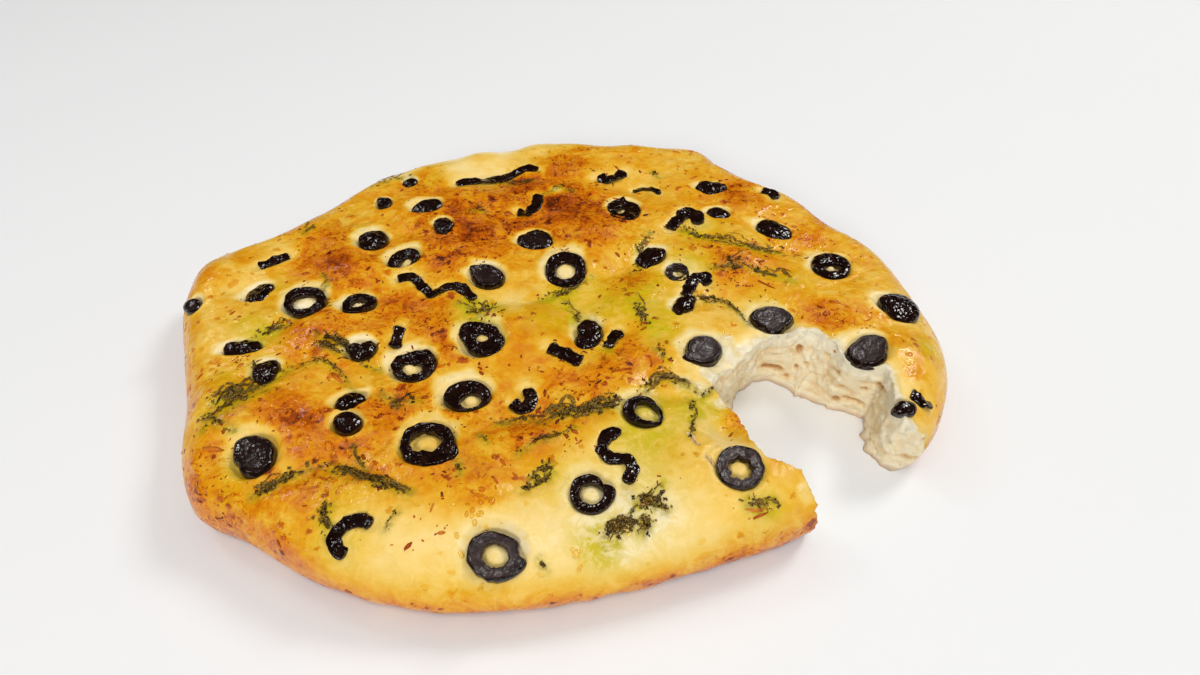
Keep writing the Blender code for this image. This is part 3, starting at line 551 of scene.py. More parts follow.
# Photo points, width in photo points, and how much herb lies there.
STRANDS = (
    ((316, 331, 330, 336, 345, 345, 358, 356, 372, 364, 380, 368), 5, 60),
    ((318, 340, 330, 347, 342, 352), 5, 44), ((530, 476, 540, 470, 550, 462), 4, 34),
    ((494, 176, 515, 182, 536, 178), 4, 24), ((590, 406, 604, 398, 616, 396), 5, 30),
    ((210, 400, 230, 392, 250, 385, 270, 375, 288, 364), 7, 60), ((222, 408, 242, 396, 262, 388), 8, 26),
    ((250, 362, 256, 372, 262, 380), 6, 16), ((201, 428, 208, 418, 220, 410, 232, 402), 4, 20),
    ((250, 493, 265, 487, 282, 477, 308, 465), 6, 54),
    ((322, 462, 345, 470, 365, 478, 386, 482, 408, 489), 6, 60), ((353, 444, 357, 456, 366, 470), 2, 16),
    ((328, 506, 322, 518, 330, 526, 326, 532), 7, 34),
    ((540, 418, 556, 410, 575, 412, 600, 406, 624, 400), 8, 90),
    ((518, 452, 535, 440, 556, 434, 575, 424), 3, 22), ((495, 421, 520, 418, 540, 414), 4, 16),
    ((645, 386, 660, 374, 676, 378, 696, 386), 6, 54), ((700, 396, 712, 387, 722, 381), 2, 12),
    ((690, 396, 695, 410, 692, 425, 690, 434), 4, 30), ((640, 502, 652, 498, 664, 506), 9, 54),
    ((606, 534, 616, 522, 630, 524, 614, 538), 8, 70), ((640, 516, 648, 524, 642, 532), 7, 24),
    ((604, 544, 625, 522, 642, 500, 666, 480), 3, 18), ((520, 487, 533, 482, 545, 478, 552, 468), 4, 26),
    ((750, 500, 760, 506, 772, 502), 8, 18), ((460, 300, 478, 308, 498, 302), 8, 30),
    ((250, 338, 262, 330, 276, 325, 290, 318), 4, 26), ((682, 228, 694, 232, 708, 236), 5, 22),
    ((705, 234, 732, 240, 756, 246, 782, 249), 5, 44), ((712, 266, 740, 262, 762, 270, 792, 280), 8, 34),
    ((650, 230, 640, 245, 644, 262, 632, 270), 6, 40),
    ((690, 296, 712, 297, 730, 301, 742, 310, 748, 320), 4, 38),
    ((540, 298, 556, 293, 575, 285, 592, 274), 4, 34), ((565, 300, 576, 312, 580, 326), 5, 20),
    ((634, 296, 640, 310, 648, 322), 6, 22), ((655, 346, 662, 352, 668, 358), 4, 10),
    ((302, 362, 322, 360, 338, 370, 352, 388), 3, 18), ((204, 412, 216, 420, 232, 428), 6, 18),
    ((322, 272, 328, 280, 322, 288), 2, 8), ((372, 184, 390, 178, 412, 174), 4, 14),
    ((545, 192, 560, 184, 574, 190), 3, 12), ((470, 208, 484, 210), 4, 8), ((652, 170, 658, 175), 4, 8),
    ((302, 230, 312, 224), 5, 12), ((380, 392, 396, 402, 418, 398), 6, 14),
    ((384, 528, 392, 516, 396, 510), 2, 8), ((540, 560, 545, 570), 3, 5), ((480, 433, 486, 441), 3, 5),
    ((452, 448, 460, 470), 3, 4),
)

# Photo point, reach in mm, and number of beads.
OIL_POOLS = (
    ((482, 503), 5, 9), ((464, 516), 5, 8), ((574, 558), 3, 5), ((625, 530), 2.5, 3), ((470, 560), 4, 3),
)

# Both ends as photo points, and width in mm.
CHILLI_BITS = (
    ((740, 525), (757, 543), 1.5), ((752, 517), (764, 524), 1.6), ((403, 552), (412, 542), 2),
    ((281, 541), (287, 536), 2), ((436, 533), (446, 532), 1.6), ((218, 494), (226, 508), 2),
    ((201, 448), (224, 450), 2.6), ((757, 281), (775, 289), 1.3), ((828, 302), (842, 304), 2.2),
    ((274, 410), (286, 412), 2.6), ((330, 372), (344, 384), 2.2), ((405, 448), (410, 452), 1.6),
    ((610, 372), (632, 368), 1.6), ((645, 246), (650, 240), 1.2), ((500, 458), (506, 466), 1.6),
    ((492, 476), (498, 484), 1.6), ((640, 330), (648, 326), 1.8), ((386, 304), (398, 300), 1.8),
    ((700, 246), (712, 250), 1.4), ((452, 470), (458, 466), 1.6), ((430, 512), (434, 502), 1.2),
    ((575, 444), (582, 440), 1), ((560, 352), (570, 350), 1.4), ((318, 476), (328, 480), 1.6),
    ((196, 380), (204, 372), 1.4), ((230, 316), (236, 312), 1.2), ((610, 196), (620, 200), 1.4),
    ((690, 180), (698, 176), 1.2), ((780, 268), (790, 272), 1.2), ((866, 322), (872, 318), 1.2),
)


class Quarter(Enum):
    """Corners of the photograph that outlines are measured from, in quarter pixels."""

    BACK_LEFT = (150, 110)
    BACK_RIGHT = (520, 110)
    FRONT_LEFT = (150, 350)
    FRONT_RIGHT = (520, 350)

    def place(self, point: Point) -> Point:
        """A point of the photograph from quarter pixels off this corner."""
        return self.value[0] + point[0] / 4, self.value[1] + point[1] / 4


class Face(Enum):
    """What the top of a slice is like."""

    RIMMED = "a cut face with a raised edge"
    DOMED = "smooth skin"
    CRUMPLED = "shrunken and knobbly"


@dataclass(frozen=True)
class Trace:
    """The seen outline of a slice and its hole, each as X and Y in turn, and how its top looks."""

    quarter: Quarter
    face: Face
    edge: tuple[float, ...]
    hole: tuple[float, ...] = ()
    dull: float = 0.0


BL, BR, FL, FR = Quarter
RIMMED, DOMED, CRUMPLED = Face
RING_TRACES = (
    Trace(BL, RIMMED, (950, 615, 965, 580, 1000, 555, 1045, 545, 1075, 555, 1080, 575, 1060, 602, 1030,
        625, 985, 634, 955, 630), (998, 612, 1015, 594, 1040, 588, 1046, 600, 1034, 616, 1005, 624)),
    Trace(BL, RIMMED, (540, 765, 548, 735, 580, 712, 630, 706, 680, 715, 703, 745, 700, 775, 665, 805, 600,
        825, 558, 805), (568, 770, 580, 745, 620, 738, 655, 748, 665, 765, 640, 785, 600, 795, 575, 785)),
    Trace(BL, RIMMED, (762, 790, 775, 760, 815, 742, 870, 740, 902, 755, 895, 780, 855, 800, 800, 812, 768,
        808), (797, 783, 815, 760, 850, 755, 865, 762, 845, 778, 810, 788)),
    Trace(BL, CRUMPLED, (1235, 880, 1245, 850, 1290, 842, 1340, 850, 1400, 880, 1420, 930, 1405, 965, 1360,
        982, 1290, 965, 1255, 925), (1300, 905, 1315, 893, 1340, 892, 1352, 903, 1340, 915, 1312, 916)),
    Trace(BR, CRUMPLED, (358, 405, 365, 370, 398, 357, 412, 340, 427, 360, 465, 375, 482, 400, 470, 425,
        425, 436, 375, 428), (385, 400, 398, 388, 415, 392, 414, 405, 398, 412)),
    Trace(BR, RIMMED, (102, 635, 110, 590, 145, 565, 200, 562, 245, 580, 262, 620, 255, 670, 225, 697, 175,
        706, 125, 690), (143, 640, 155, 615, 185, 605, 210, 615, 218, 640, 205, 663, 175, 670, 150, 660)),
    Trace(BR, RIMMED, (583, 650, 590, 622, 620, 612, 655, 617, 673, 640, 668, 670, 640, 685, 605, 683),
        (612, 650, 620, 635, 640, 633, 650, 650, 640, 665, 620, 664), 0.5),
    Trace(BR, DOMED, (1168, 620, 1178, 585, 1220, 570, 1270, 575, 1312, 600, 1322, 640, 1300, 672, 1260,
        677, 1205, 660, 1172, 640), (1218, 628, 1240, 619, 1280, 624, 1285, 634, 1255, 643, 1222, 638)),
    Trace(BL, CRUMPLED, (962, 1015, 985, 985, 1020, 975, 1060, 958, 1110, 955, 1140, 980, 1143, 1030, 1120,
        1065, 1060, 1082, 1000, 1070, 968, 1040), (1008, 1025, 1025, 1008, 1050, 1015, 1078, 1018, 1083,
        1040, 1060, 1052, 1020, 1045)),
    Trace(FL, RIMMED, (1168, 190, 1180, 155, 1230, 125, 1290, 118, 1340, 140, 1365, 180, 1350, 215, 1310,
        232, 1260, 238, 1200, 225, 1172, 205), (1238, 205, 1255, 180, 1290, 172, 1318, 185, 1315, 212,
        1285, 230, 1250, 225)),
    Trace(FR, RIMMED, (405, 235, 420, 200, 460, 185, 505, 187, 545, 220, 570, 265, 562, 300, 525, 303, 470,
        290, 425, 270), (457, 235, 470, 208, 500, 205, 530, 225, 555, 262, 550, 282, 520, 280, 475, 262)),
    Trace(FL, CRUMPLED, (1000, 385, 1008, 340, 1045, 300, 1110, 290, 1170, 300, 1210, 335, 1222, 380, 1238,
        410, 1200, 440, 1130, 460, 1060, 455, 1010, 425), (1030, 365, 1060, 335, 1110, 325, 1150, 345,
        1160, 370, 1140, 395, 1090, 398, 1060, 405, 1040, 390)),
    Trace(FR, RIMMED, (785, 465, 800, 410, 840, 382, 890, 378, 945, 400, 973, 450, 968, 510, 930, 545, 880,
        553, 820, 530, 790, 495), (833, 465, 843, 440, 862, 442, 875, 424, 893, 437, 912, 440, 914, 460,
        932, 468, 920, 487, 922, 506, 900, 503, 884, 518, 870, 504, 846, 504, 850, 484), 1.0),
    Trace(FL, RIMMED, (1262, 800, 1275, 750, 1320, 722, 1390, 718, 1445, 740, 1480, 765, 1468, 782, 1478,
        800, 1466, 815, 1505, 825, 1500, 860, 1450, 900, 1390, 918, 1320, 895, 1275, 850), (1325, 810,
        1340, 775, 1380, 765, 1415, 780, 1430, 815, 1415, 850, 1380, 858, 1340, 840), 0.9),
    Trace(FR, RIMMED, (200, 560, 215, 515, 260, 493, 310, 500, 335, 535, 380, 545, 385, 575, 365, 610, 325,
        645, 280, 652, 220, 625), (240, 565, 255, 535, 290, 528, 318, 540, 333, 575, 315, 600, 280, 610,
        250, 595)),
)
LUMP_TRACES = (
    Trace(BL, DOMED, (1008, 292, 1025, 278, 1055, 270, 1072, 282, 1058, 300, 1022, 308)),
    Trace(BL, DOMED, (912, 348, 935, 348, 968, 372, 958, 388, 925, 390, 910, 370)),
    Trace(BL, DOMED, (1045, 400, 1070, 370, 1115, 353, 1160, 355, 1170, 375, 1145, 400, 1100, 410, 1060,
        412)),
    Trace(BL, CRUMPLED, (828, 525, 842, 492, 890, 478, 940, 484, 950, 510, 932, 536, 895, 552, 850, 556)),
    Trace(BL, CRUMPLED, (1138, 462, 1148, 432, 1180, 424, 1206, 440, 1210, 465, 1182, 487, 1150, 484)),
    Trace(BL, CRUMPLED, (1468, 520, 1474, 500, 1500, 488, 1580, 477, 1612, 518, 1606, 556, 1570, 546, 1478,
        552), (), 0.2),
    Trace(BL, CRUMPLED, (380, 752, 398, 722, 448, 693, 489, 695, 482, 728, 460, 760, 420, 776, 386, 770)),
    Trace(BL, RIMMED, (1272, 622, 1308, 617, 1388, 627, 1420, 660, 1412, 695, 1375, 711, 1325, 706, 1294,
        682, 1280, 650), (), 0.35),
    Trace(BL, DOMED, (150, 762, 165, 752, 205, 766, 202, 790, 168, 808, 150, 800), (), 0.3),
    Trace(BR, CRUMPLED, (704, 310, 712, 284, 770, 286, 828, 297, 826, 320, 780, 336, 738, 330)),
    Trace(BR, DOMED, (745, 405, 768, 389, 820, 397, 846, 425, 800, 432, 755, 420)),
    Trace(BR, DOMED, (943, 460, 972, 434, 1040, 454, 1084, 478, 1080, 516, 1030, 512, 975, 492)),
    Trace(BR, CRUMPLED, (472, 612, 488, 562, 530, 544, 583, 553, 578, 585, 540, 606, 508, 633)),
    Trace(BR, DOMED, (610, 800, 618, 768, 660, 742, 697, 738, 696, 772, 660, 800, 630, 816)),
    Trace(BR, RIMMED, (916, 815, 958, 790, 1010, 782, 1060, 794, 1098, 830, 1062, 870, 1016, 904, 985, 896,
        975, 872, 938, 855), (), 1.0),
    Trace(BR, CRUMPLED, (228, 882, 240, 848, 270, 832, 305, 838, 327, 872, 322, 912, 302, 945, 262, 960,
        224, 940, 220, 910, 238, 896)),
    Trace(BR, DOMED, (1433, 748, 1480, 730, 1540, 742, 1582, 775, 1580, 835, 1552, 847, 1500, 832, 1458,
        792)),
    Trace(BL, CRUMPLED, (290, 965, 298, 935, 348, 926, 410, 919, 448, 924, 442, 955, 400, 966, 332, 980,
        298, 980)),
    Trace(BL, CRUMPLED, (408, 1052, 428, 1016, 468, 1000, 506, 997, 498, 1040, 480, 1072, 442, 1088, 414,
        1072)),
    Trace(BL, CRUMPLED, (784, 946, 806, 921, 840, 937, 872, 917, 903, 935, 896, 966, 860, 986, 820, 992,
        790, 970)),
    Trace(FL, CRUMPLED, (732, 222, 745, 190, 790, 170, 842, 164, 862, 186, 840, 210, 800, 236, 774, 241,
        744, 236)),
    Trace(FL, DOMED, (727, 292, 740, 260, 785, 244, 826, 255, 849, 285, 830, 312, 780, 334, 740, 316)),
    Trace(FL, RIMMED, (329, 400, 340, 360, 380, 338, 450, 342, 495, 370, 501, 420, 482, 470, 432, 512, 386,
        506, 352, 460), (), 0.25),
    Trace(BR, RIMMED, (638, 988, 664, 965, 666, 925, 710, 899, 770, 904, 809, 945, 796, 990, 746, 1020,
        690, 1011), (), 1.0),
    Trace(BR, RIMMED, (1303, 978, 1340, 930, 1400, 895, 1466, 904, 1473, 960, 1461, 1010, 1400, 1029, 1345,
        1016), (), 1.0),
    Trace(FR, DOMED, (1486, 242, 1500, 210, 1535, 197, 1576, 210, 1582, 240, 1540, 252)),
)


@dataclass(frozen=True)
class Finish:
    """A surface's own gloss."""

    roughness: float
    specular: float


class NodeDesk:
    """Lays out and links the nodes of one material or group."""

    def __init__(self, tree: Tree) -> None:
        """Takes the material's or group's tree that the nodes go in."""
        self.tree = tree

    def add(self, kind: str, values: dict | None = None, **settings: object) -> bpy.types.Node:
        """Adds a node.

        Args:
            kind: the node's type.
            values: what its sockets get, a link where it is a socket.
            settings: its own properties.

        Returns:
            The new node.
        """
        node = self.tree.nodes.new(kind)
        for name, value in settings.items():
            setattr(node, name, value)
        for name, value in (values or {}).items():
            self.put(node.inputs[name], value)
        return node

    def put(self, socket: Socket, value: object) -> None:
        """Feeds an input.

        Args:
            socket: the input.
            value: the socket that it is linked to, or its value.
        """
        if isinstance(value, Socket):
            self.tree.links.new(value, socket)
        else:
            socket.default_value = value

    def group(self, tree: Tree, values: dict[str, float]) -> dict:
        """What a group puts out when it is given its own values."""
        return self.add("ShaderNodeGroup", values, node_tree=tree).outputs

    def attribute(self, name: str) -> Socket:
        """The value of one of the piece's own attributes."""
        return self.add("ShaderNodeAttribute", attribute_name=name).outputs["Fac"]

    def math(self, operation: str, *values: object, clamp: bool = False) -> Socket:
        """Works out a sum.

        Args:
            operation: what is done.
            values: its values or sockets.
            clamp: whether the result is held between 0 and 1.

        Returns:
            The result.
        """
        node = self.add("ShaderNodeMath", operation=operation, use_clamp=clamp)
        for index, value in enumerate(values):
            self.put(node.inputs[index], value)
        return node.outputs[0]

    def times(self, first: object, second: object, clamp: bool = False) -> Socket:
        """Two values multiplied."""
        return self.math("MULTIPLY", first, second, clamp=clamp)

    def plus(self, first: object, second: object, clamp: bool = False) -> Socket:
        """Two values added."""
        return self.math("ADD", first, second, clamp=clamp)

    def swing(self, value: object, size: float) -> Socket:
        """How far a value is from a half, scaled."""
        return self.times(self.math("SUBTRACT", value, 0.5), size)

    def rest(self, share: object) -> Socket:
        """What is left of 1 beside a share."""
        return self.math("SUBTRACT", 1.0, share)

    def place(self) -> Socket:
        """Object coordinates."""
        return self.add("ShaderNodeTexCoord").outputs["Object"]

    def noise(self, scale: object, detail: float = 2.0, rough: float = 0.5, bend: float = 0.0) -> Socket:
        """Noise on Object coordinates, from 0 to 1."""
        values = {"Scale": scale, "Detail": detail, "Roughness": rough, "Distortion": bend}
        return self.add("ShaderNodeTexNoise", {"Vector": self.place(), **values}).outputs["Fac"]

    def spots(self, scale: float, share: float, size: float) -> Socket:
        """Scattered ragged spots, from 0 to 1.

        Args:
            scale: cells in a metre, each with a spot at most.
            share: the share of cells that have one.
            size: a spot's reach as a share of its cell.

        Returns:
            The mask.
        """
        place = self.place()
        drift = self.add("ShaderNodeTexNoise", {"Vector": place, "Scale": scale * 2.4, "Detail": 3.0})
        drift = {0: drift.outputs["Color"], "Scale": 0.9 / scale}
        moved = self.add("ShaderNodeVectorMath", drift, operation="SCALE").outputs[0]
        place = self.add("ShaderNodeVectorMath", {0: place, 1: moved}, operation="ADD").outputs[0]
        cells = self.add("ShaderNodeTexVoronoi", {"Vector": place, "Scale": scale})
        picked = self.add("ShaderNodeSeparateColor", {"Color": cells.outputs["Color"]}).outputs["Red"]
        picked = self.window(picked, share + 0.04, share - 0.04)
        return self.times(picked, self.window(cells.outputs["Distance"], size, size * 0.45))

    def window(self, value: object, low: float, high: float, start: float = 0.0, end: float = 1.0) -> Socket:
        """Maps a value from low..high to start..end, smoothly and held at both ends."""
        values = {"Value": value, "From Min": low, "From Max": high, "To Min": start, "To Max": end}
        return self.add("ShaderNodeMapRange", values, interpolation_type="SMOOTHSTEP").outputs["Result"]

    def blend(self, share: object, first: object, second: object) -> Socket:
        """Mixes two colours.

        Args:
            share: how much of the second there is.
            first, second: the colours, as sockets or linear values.

        Returns:
            The mixed colour.
        """
        node = self.add("ShaderNodeMix", data_type="RGBA")
        self.put(node.inputs[0], share)
        for index, colour in ((6, first), (7, second)):
            if isinstance(colour, tuple):
                colour = (*colour, 1.0)
            self.put(node.inputs[index], colour)
        return node.outputs[2]

    def ramp(self, value: object, stops: Stops) -> Socket:
        """A run of colours.

        Args:
            value: where along the run to read.
            stops: places and screen colours.

        Returns:
            The colour there.
        """
        node = self.add("ShaderNodeValToRGB", {"Fac": value})
        elements = node.color_ramp.elements
        while len(elements) < len(stops):
            elements.new(0.5)
        for element, (place, colour) in zip(elements, stops):
            element.position = place
            element.color = (*linear(*colour), 1.0)
        return node.outputs["Color"]

    def bump(self, height: object, distance: float, strength: float = 1.0, below: object = None) -> Socket:
        """A bump from a height.

        Args:
            height: the height, from 0 to 1.
            distance: how high 1 is, in metres.
            strength: how strongly it shows.
            below: another bump that it lies on.

        Returns:
            The normal.
        """
        values = {"Height": height, "Distance": distance, "Strength": strength}
        if below is not None:
            values["Normal"] = below
        return self.add("ShaderNodeBump", values).outputs["Normal"]


def linear(red: int, green: int, blue: int) -> Colour:
    """A screen colour from 0 to 255 as the linear one that shaders take."""
    channels = (value / 255 for value in (red, green, blue))
    return tuple(one / 12.92 if one <= 0.04045 else ((one + 0.055) / 1.055) ** 2.4 for one in channels)


class ShaderGroups:
    """The shader node groups that more than one material uses, each built once."""

    @staticmethod
    def start(name: str, inputs: dict[str, float], *outputs: str) -> tuple[NodeDesk, dict, dict]:
        """Opens a new group with float sockets.

        Args:
            name: the group's name.
            inputs: its inputs and their first values.
            outputs: its outputs.

        Returns:
            The desk for its nodes, what comes in and what goes out.
        """
        tree = bpy.data.node_groups.new(name, "ShaderNodeTree")
        for label, value in inputs.items():
            socket = tree.interface.new_socket(label, in_out="INPUT", socket_type="NodeSocketFloat")
            socket.default_value = value
        for label in outputs:
            tree.interface.new_socket(label, in_out="OUTPUT", socket_type="NodeSocketFloat")
        desk = NodeDesk(tree)
        return desk, desk.add("NodeGroupInput").outputs, desk.add("NodeGroupOutput").inputs

    @classmethod
    def oil_film(cls) -> Tree:
        """Uneven oil: where the surface is wet, and the fine beads that catch the light.

        Returns:
            The group, with Wet and Beads outputs.
        """
        if "oil_film" in bpy.data.node_groups:
            return bpy.data.node_groups["oil_film"]
        inputs = {"Patch Scale": 90.0, "Bead Scale": 900.0, "Cover": 0.5}
        desk, given, made = cls.start("oil_film", inputs, "Wet", "Beads")
        patch = desk.noise(given["Patch Scale"], 3.0)
        wet = desk.times(desk.math("SUBTRACT", patch, desk.rest(given["Cover"])), 4.0)
        desk.put(made["Wet"], desk.plus(wet, 0.5, True))
        cells = desk.add("ShaderNodeTexVoronoi", {"Vector": desk.place(), "Scale": given["Bead Scale"]})
        inside = desk.math("SUBTRACT", 1.0, cells.outputs["Distance"], clamp=True)
        desk.put(made["Beads"], desk.math("POWER", inside, 2.0))
        return desk.tree

    @classmethod
    def fine_grain(cls) -> Tree:
        """Fine uneven grain, from 0 to 1, in two sizes.

        Returns:
            The group, with a Grain output.
        """
        if "fine_grain" in bpy.data.node_groups:
            return bpy.data.node_groups["fine_grain"]
        desk, given, made = cls.start("fine_grain", {"Scale": 600.0, "Coarse Share": 0.5}, "Grain")
        fine = desk.noise(given["Scale"], 3.0)
        coarse = desk.noise(desk.times(given["Scale"], 0.3), 2.0)
        share = given["Coarse Share"]
        desk.put(made["Grain"], desk.plus(desk.times(coarse, share), desk.times(fine, desk.rest(share))))
        return desk.tree


class Dresser:
    """Makes the materials, each once."""

    CRUST = Finish(roughness=0.42, specular=0.34)
    OLIVE = Finish(roughness=0.16, specular=0.65)
    LEAF = Finish(roughness=0.24, specular=0.45)
    BIT = Finish(roughness=0.34, specular=0.35)
    BEAD = Finish(roughness=0.1, specular=0.8)

    BAKE_STOPS = (
        (0.0, (250, 234, 194)), (0.1, (245, 215, 138)), (0.22, (239, 197, 92)), (0.34, (231, 175, 46)),
        (0.46, (223, 152, 18)), (0.58, (216, 128, 7)), (0.7, (200, 101, 4)), (0.84, (158, 66, 6)),
        (1.0, (82, 31, 8)),
    )
    # Crumb colours, from the open crumb to deep in its pockets; the darker end is painted shade.
    CRUMB_SHADE_STOPS = (
        (0.0, (255, 245, 216)), (0.38, (254, 235, 194)), (0.72, (240, 206, 152)), (1.0, (194, 142, 88)),
    )
    SKIN_STOPS = ((0.3, (11, 4, 3)), (0.55, (29, 14, 10)), (0.75, (60, 34, 26)))
    FLESH_STOPS = ((0.0, (28, 18, 16)), (0.5, (58, 44, 42)), (1.0, (94, 76, 72)))
    HERB_STOPS = (
        (0.0, (36, 22, 8)), (0.28, (70, 48, 18)), (0.48, (106, 82, 30)), (0.68, (140, 116, 46)),
        (0.84, (150, 98, 34)), (1.0, (192, 156, 76)),
    )
    CHILLI_STOPS = ((0.0, (120, 44, 6)), (0.35, (160, 66, 6)), (0.7, (196, 98, 14)), (1.0, (212, 132, 34)))
    SPECK_STOPS = ((0.0, (84, 34, 8)), (0.35, (132, 50, 6)), (0.7, (176, 80, 8)), (1.0, (208, 128, 36)))
    GREEN_OIL = linear(200, 180, 10)
    HERB_STAIN = linear(112, 92, 18)
    SOLE = (linear(206, 132, 44), linear(150, 82, 24))

    @staticmethod
    def open(name: str, finish: Finish) -> tuple[NodeDesk, bpy.types.Node, Material]:
        """Starts a material.

        Args:
            name: its name.
            finish: its gloss.

        Returns:
            The desk for its nodes, its shader and the material.
        """
        material = bpy.data.materials.new(name)
        material.use_nodes = True
        shader = material.node_tree.nodes["Principled BSDF"]
        shader.inputs["Roughness"].default_value = finish.roughness
        shader.inputs["Specular IOR Level"].default_value = finish.specular
        return NodeDesk(material.node_tree), shader, material

    def bread(self) -> Material:
        """The baked crust and, where it is torn, the crumb.

        Returns:
            The material.
        """
        desk, shader, material = self.open("baked_dough", self.CRUST)
        blotch = desk.window(desk.noise(42.0, 5.0, 0.62, 1.2), 0.34, 0.66)
        patchy = desk.window(desk.noise(120.0, 6.0, 0.72, 1.4), 0.38, 0.64)
        bake = desk.attribute("bake")
        shade = desk.plus(desk.swing(blotch, 0.25), desk.swing(patchy, 0.2))
        shade = desk.plus(bake, desk.times(shade, desk.window(bake, 0.16, 0.6, 0.22, 1.0)))
        scorch = desk.window(desk.noise(230.0, 7.0, 0.8, 2.0), 0.53, 0.6)
        scorch = desk.times(scorch, desk.window(bake, 0.38, 0.62, 0.0, 0.36))
        spots = desk.math("MAXIMUM", desk.spots(95.0, 0.26, 0.3), desk.spots(210.0, 0.22, 0.32))
        spots = desk.times(spots, desk.window(bake, 0.1, 0.46, 0.05, 0.34))
        shade = desk.plus(shade, desk.math("MAXIMUM", scorch, spots), True)
        crust = desk.ramp(shade, self.BAKE_STOPS)
        oil = desk.times(desk.attribute("oil"), desk.window(patchy, 0.1, 0.8, 0.55, 1.2), True)
        oil = desk.times(oil, desk.window(shade, 0.78, 0.5, 0.25, 0.95))
        crust = desk.blend(oil, crust, self.GREEN_OIL)
        stain = desk.window(desk.noise(260.0, 4.0, 0.7), 0.4, 0.66, 0.08, 0.75)
        crust = desk.blend(desk.times(desk.attribute("stain"), stain), crust, self.HERB_STAIN)
        crumb_noise = desk.noise(300.0, 7.0, 0.74, 0.8)
        # Painted shade: the crumb darkens with how deep it lies in its pockets and in the crust's cracks.
        pocket_shade = desk.plus(desk.attribute("pocket_shade"), desk.swing(crumb_noise, 0.8), True)
        torn = desk.attribute("crumb")
        ragged = desk.plus(torn, desk.swing(desk.noise(150.0, 5.0, 0.65, 0.4), 1.2))
        colour = desk.blend(desk.window(ragged, 0.3, 0.7), crust, desk.ramp(pocket_shade, self.CRUMB_SHADE_STOPS))
        sole = desk.attribute("sole")
        under = desk.blend(desk.window(desk.noise(120.0, 3.0), 0.35, 0.7), *self.SOLE)
        desk.put(shader.inputs["Base Color"], desk.blend(sole, colour, under))
        film = desk.group(ShaderGroups.oil_film(), {"Patch Scale": 90.0, "Bead Scale": 330.0, "Cover": 0.58})
        dry = desk.math("MAXIMUM", desk.window(torn, 0.2, 0.6), sole)
        wet = desk.times(desk.times(film["Wet"], desk.rest(dry)), desk.window(bake, 0.14, 0.44, 0.35, 1.0))
        rough = desk.window(wet, 0.0, 1.0, 0.52, 0.22)
        desk.put(shader.inputs["Roughness"], desk.plus(rough, desk.times(dry, 0.4)))
        waves = desk.bump(desk.noise(130.0, 1.0, 0.4, 0.5), 1.6 * MM, 0.7)
        blisters = desk.bump(desk.times(spots, desk.rest(torn)), 1.2 * MM, 0.8, waves)
        fibres = desk.bump(desk.times(desk.window(torn, 0.1, 0.6), crumb_noise), 1.8 * MM, 0.9, blisters)
        skin = desk.bump(desk.times(wet, desk.noise(330.0, 1.0, 0.4, 0.8)), 0.5 * MM, 0.7, fibres)
        grain = desk.group(ShaderGroups.fine_grain(), {"Scale": 700.0, "Coarse Share": 0.55})["Grain"]
        fine = desk.bump(grain, 0.3 * MM, 0.4, skin)
        desk.put(shader.inputs["Normal"], desk.bump(film["Beads"], 0.16 * MM, 0.5, fine))
        return material

    def olive(self) -> Material:
        """Black olive: glossy wrinkled skin, and duller flesh where it is cut.

        Returns:
            The material.
        """
        desk, shader, material = self.open("black_olive", self.OLIVE)
        grain = desk.group(ShaderGroups.fine_grain(), {"Scale": 1100.0, "Coarse Share": 0.6})["Grain"]
        film = desk.group(ShaderGroups.oil_film(), {"Patch Scale": 300.0, "Bead Scale": 620.0, "Cover": 0.6})
        cut = desk.attribute("cut")
        flesh = desk.ramp(desk.attribute("line"), self.FLESH_STOPS)
        desk.put(shader.inputs["Base Color"], desk.blend(cut, desk.ramp(grain, self.SKIN_STOPS), flesh))
        rough = desk.window(film["Wet"], 0.0, 1.0, 0.24, 0.12)
        desk.put(shader.inputs["Roughness"], desk.plus(rough, desk.times(cut, 0.25)))
        first = desk.bump(desk.noise(420.0, 1.0, 0.4, 0.6), 0.6 * MM)
        second = desk.bump(grain, 0.15 * MM, 0.7, first)
        desk.put(shader.inputs["Normal"], desk.bump(film["Beads"], 0.14 * MM, 0.7, second))
        return material

    def leaf(self) -> Material:
        """Wilted, oiled herbs, from near-black to olive green.

        Returns:
            The material.
        """
        desk, shader, material = self.open("wilted_herb", self.LEAF)
        veins = desk.swing(desk.noise(900.0, 4.0, 0.7, 1.0), 1.9)
        tone = desk.plus(desk.attribute("tone"), veins, True)
        desk.put(shader.inputs["Base Color"], desk.ramp(tone, self.HERB_STOPS))
        desk.put(shader.inputs["Alpha"], desk.window(desk.noise(700.0, 3.0, 0.55, 1.6), 0.44, 0.5))
        grain = desk.group(ShaderGroups.fine_grain(), {"Scale": 1500.0, "Coarse Share": 0.6})["Grain"]
        desk.put(shader.inputs["Normal"], desk.bump(desk.plus(grain, veins), 0.5 * MM, 0.8))
        return material

    def bit(self, name: str, stops: Stops) -> Material:
        """A material for small coloured bits, its colour set by each bit's own tone.

        Args:
            name: the material's name.
            stops: the colours that the tone runs through.

        Returns:
            The material.
        """
        desk, shader, material = self.open(name, self.BIT)
        grain = desk.group(ShaderGroups.fine_grain(), {"Scale": 1800.0, "Coarse Share": 0.5})["Grain"]
        tone = desk.plus(desk.attribute("tone"), desk.swing(grain, 0.4), True)
        desk.put(shader.inputs["Base Color"], desk.ramp(tone, stops))
        desk.put(shader.inputs["Normal"], desk.bump(grain, 0.4 * MM, 0.4))
        return material

    def bead(self) -> Material:
        """A bead of oil, in the colour of the crust below it.

        Returns:
            The material.
        """
        desk, shader, material = self.open("oil_bead", self.BEAD)
        desk.put(shader.inputs["Base Color"], desk.ramp(desk.attribute("tone"), self.BAKE_STOPS))
        return material


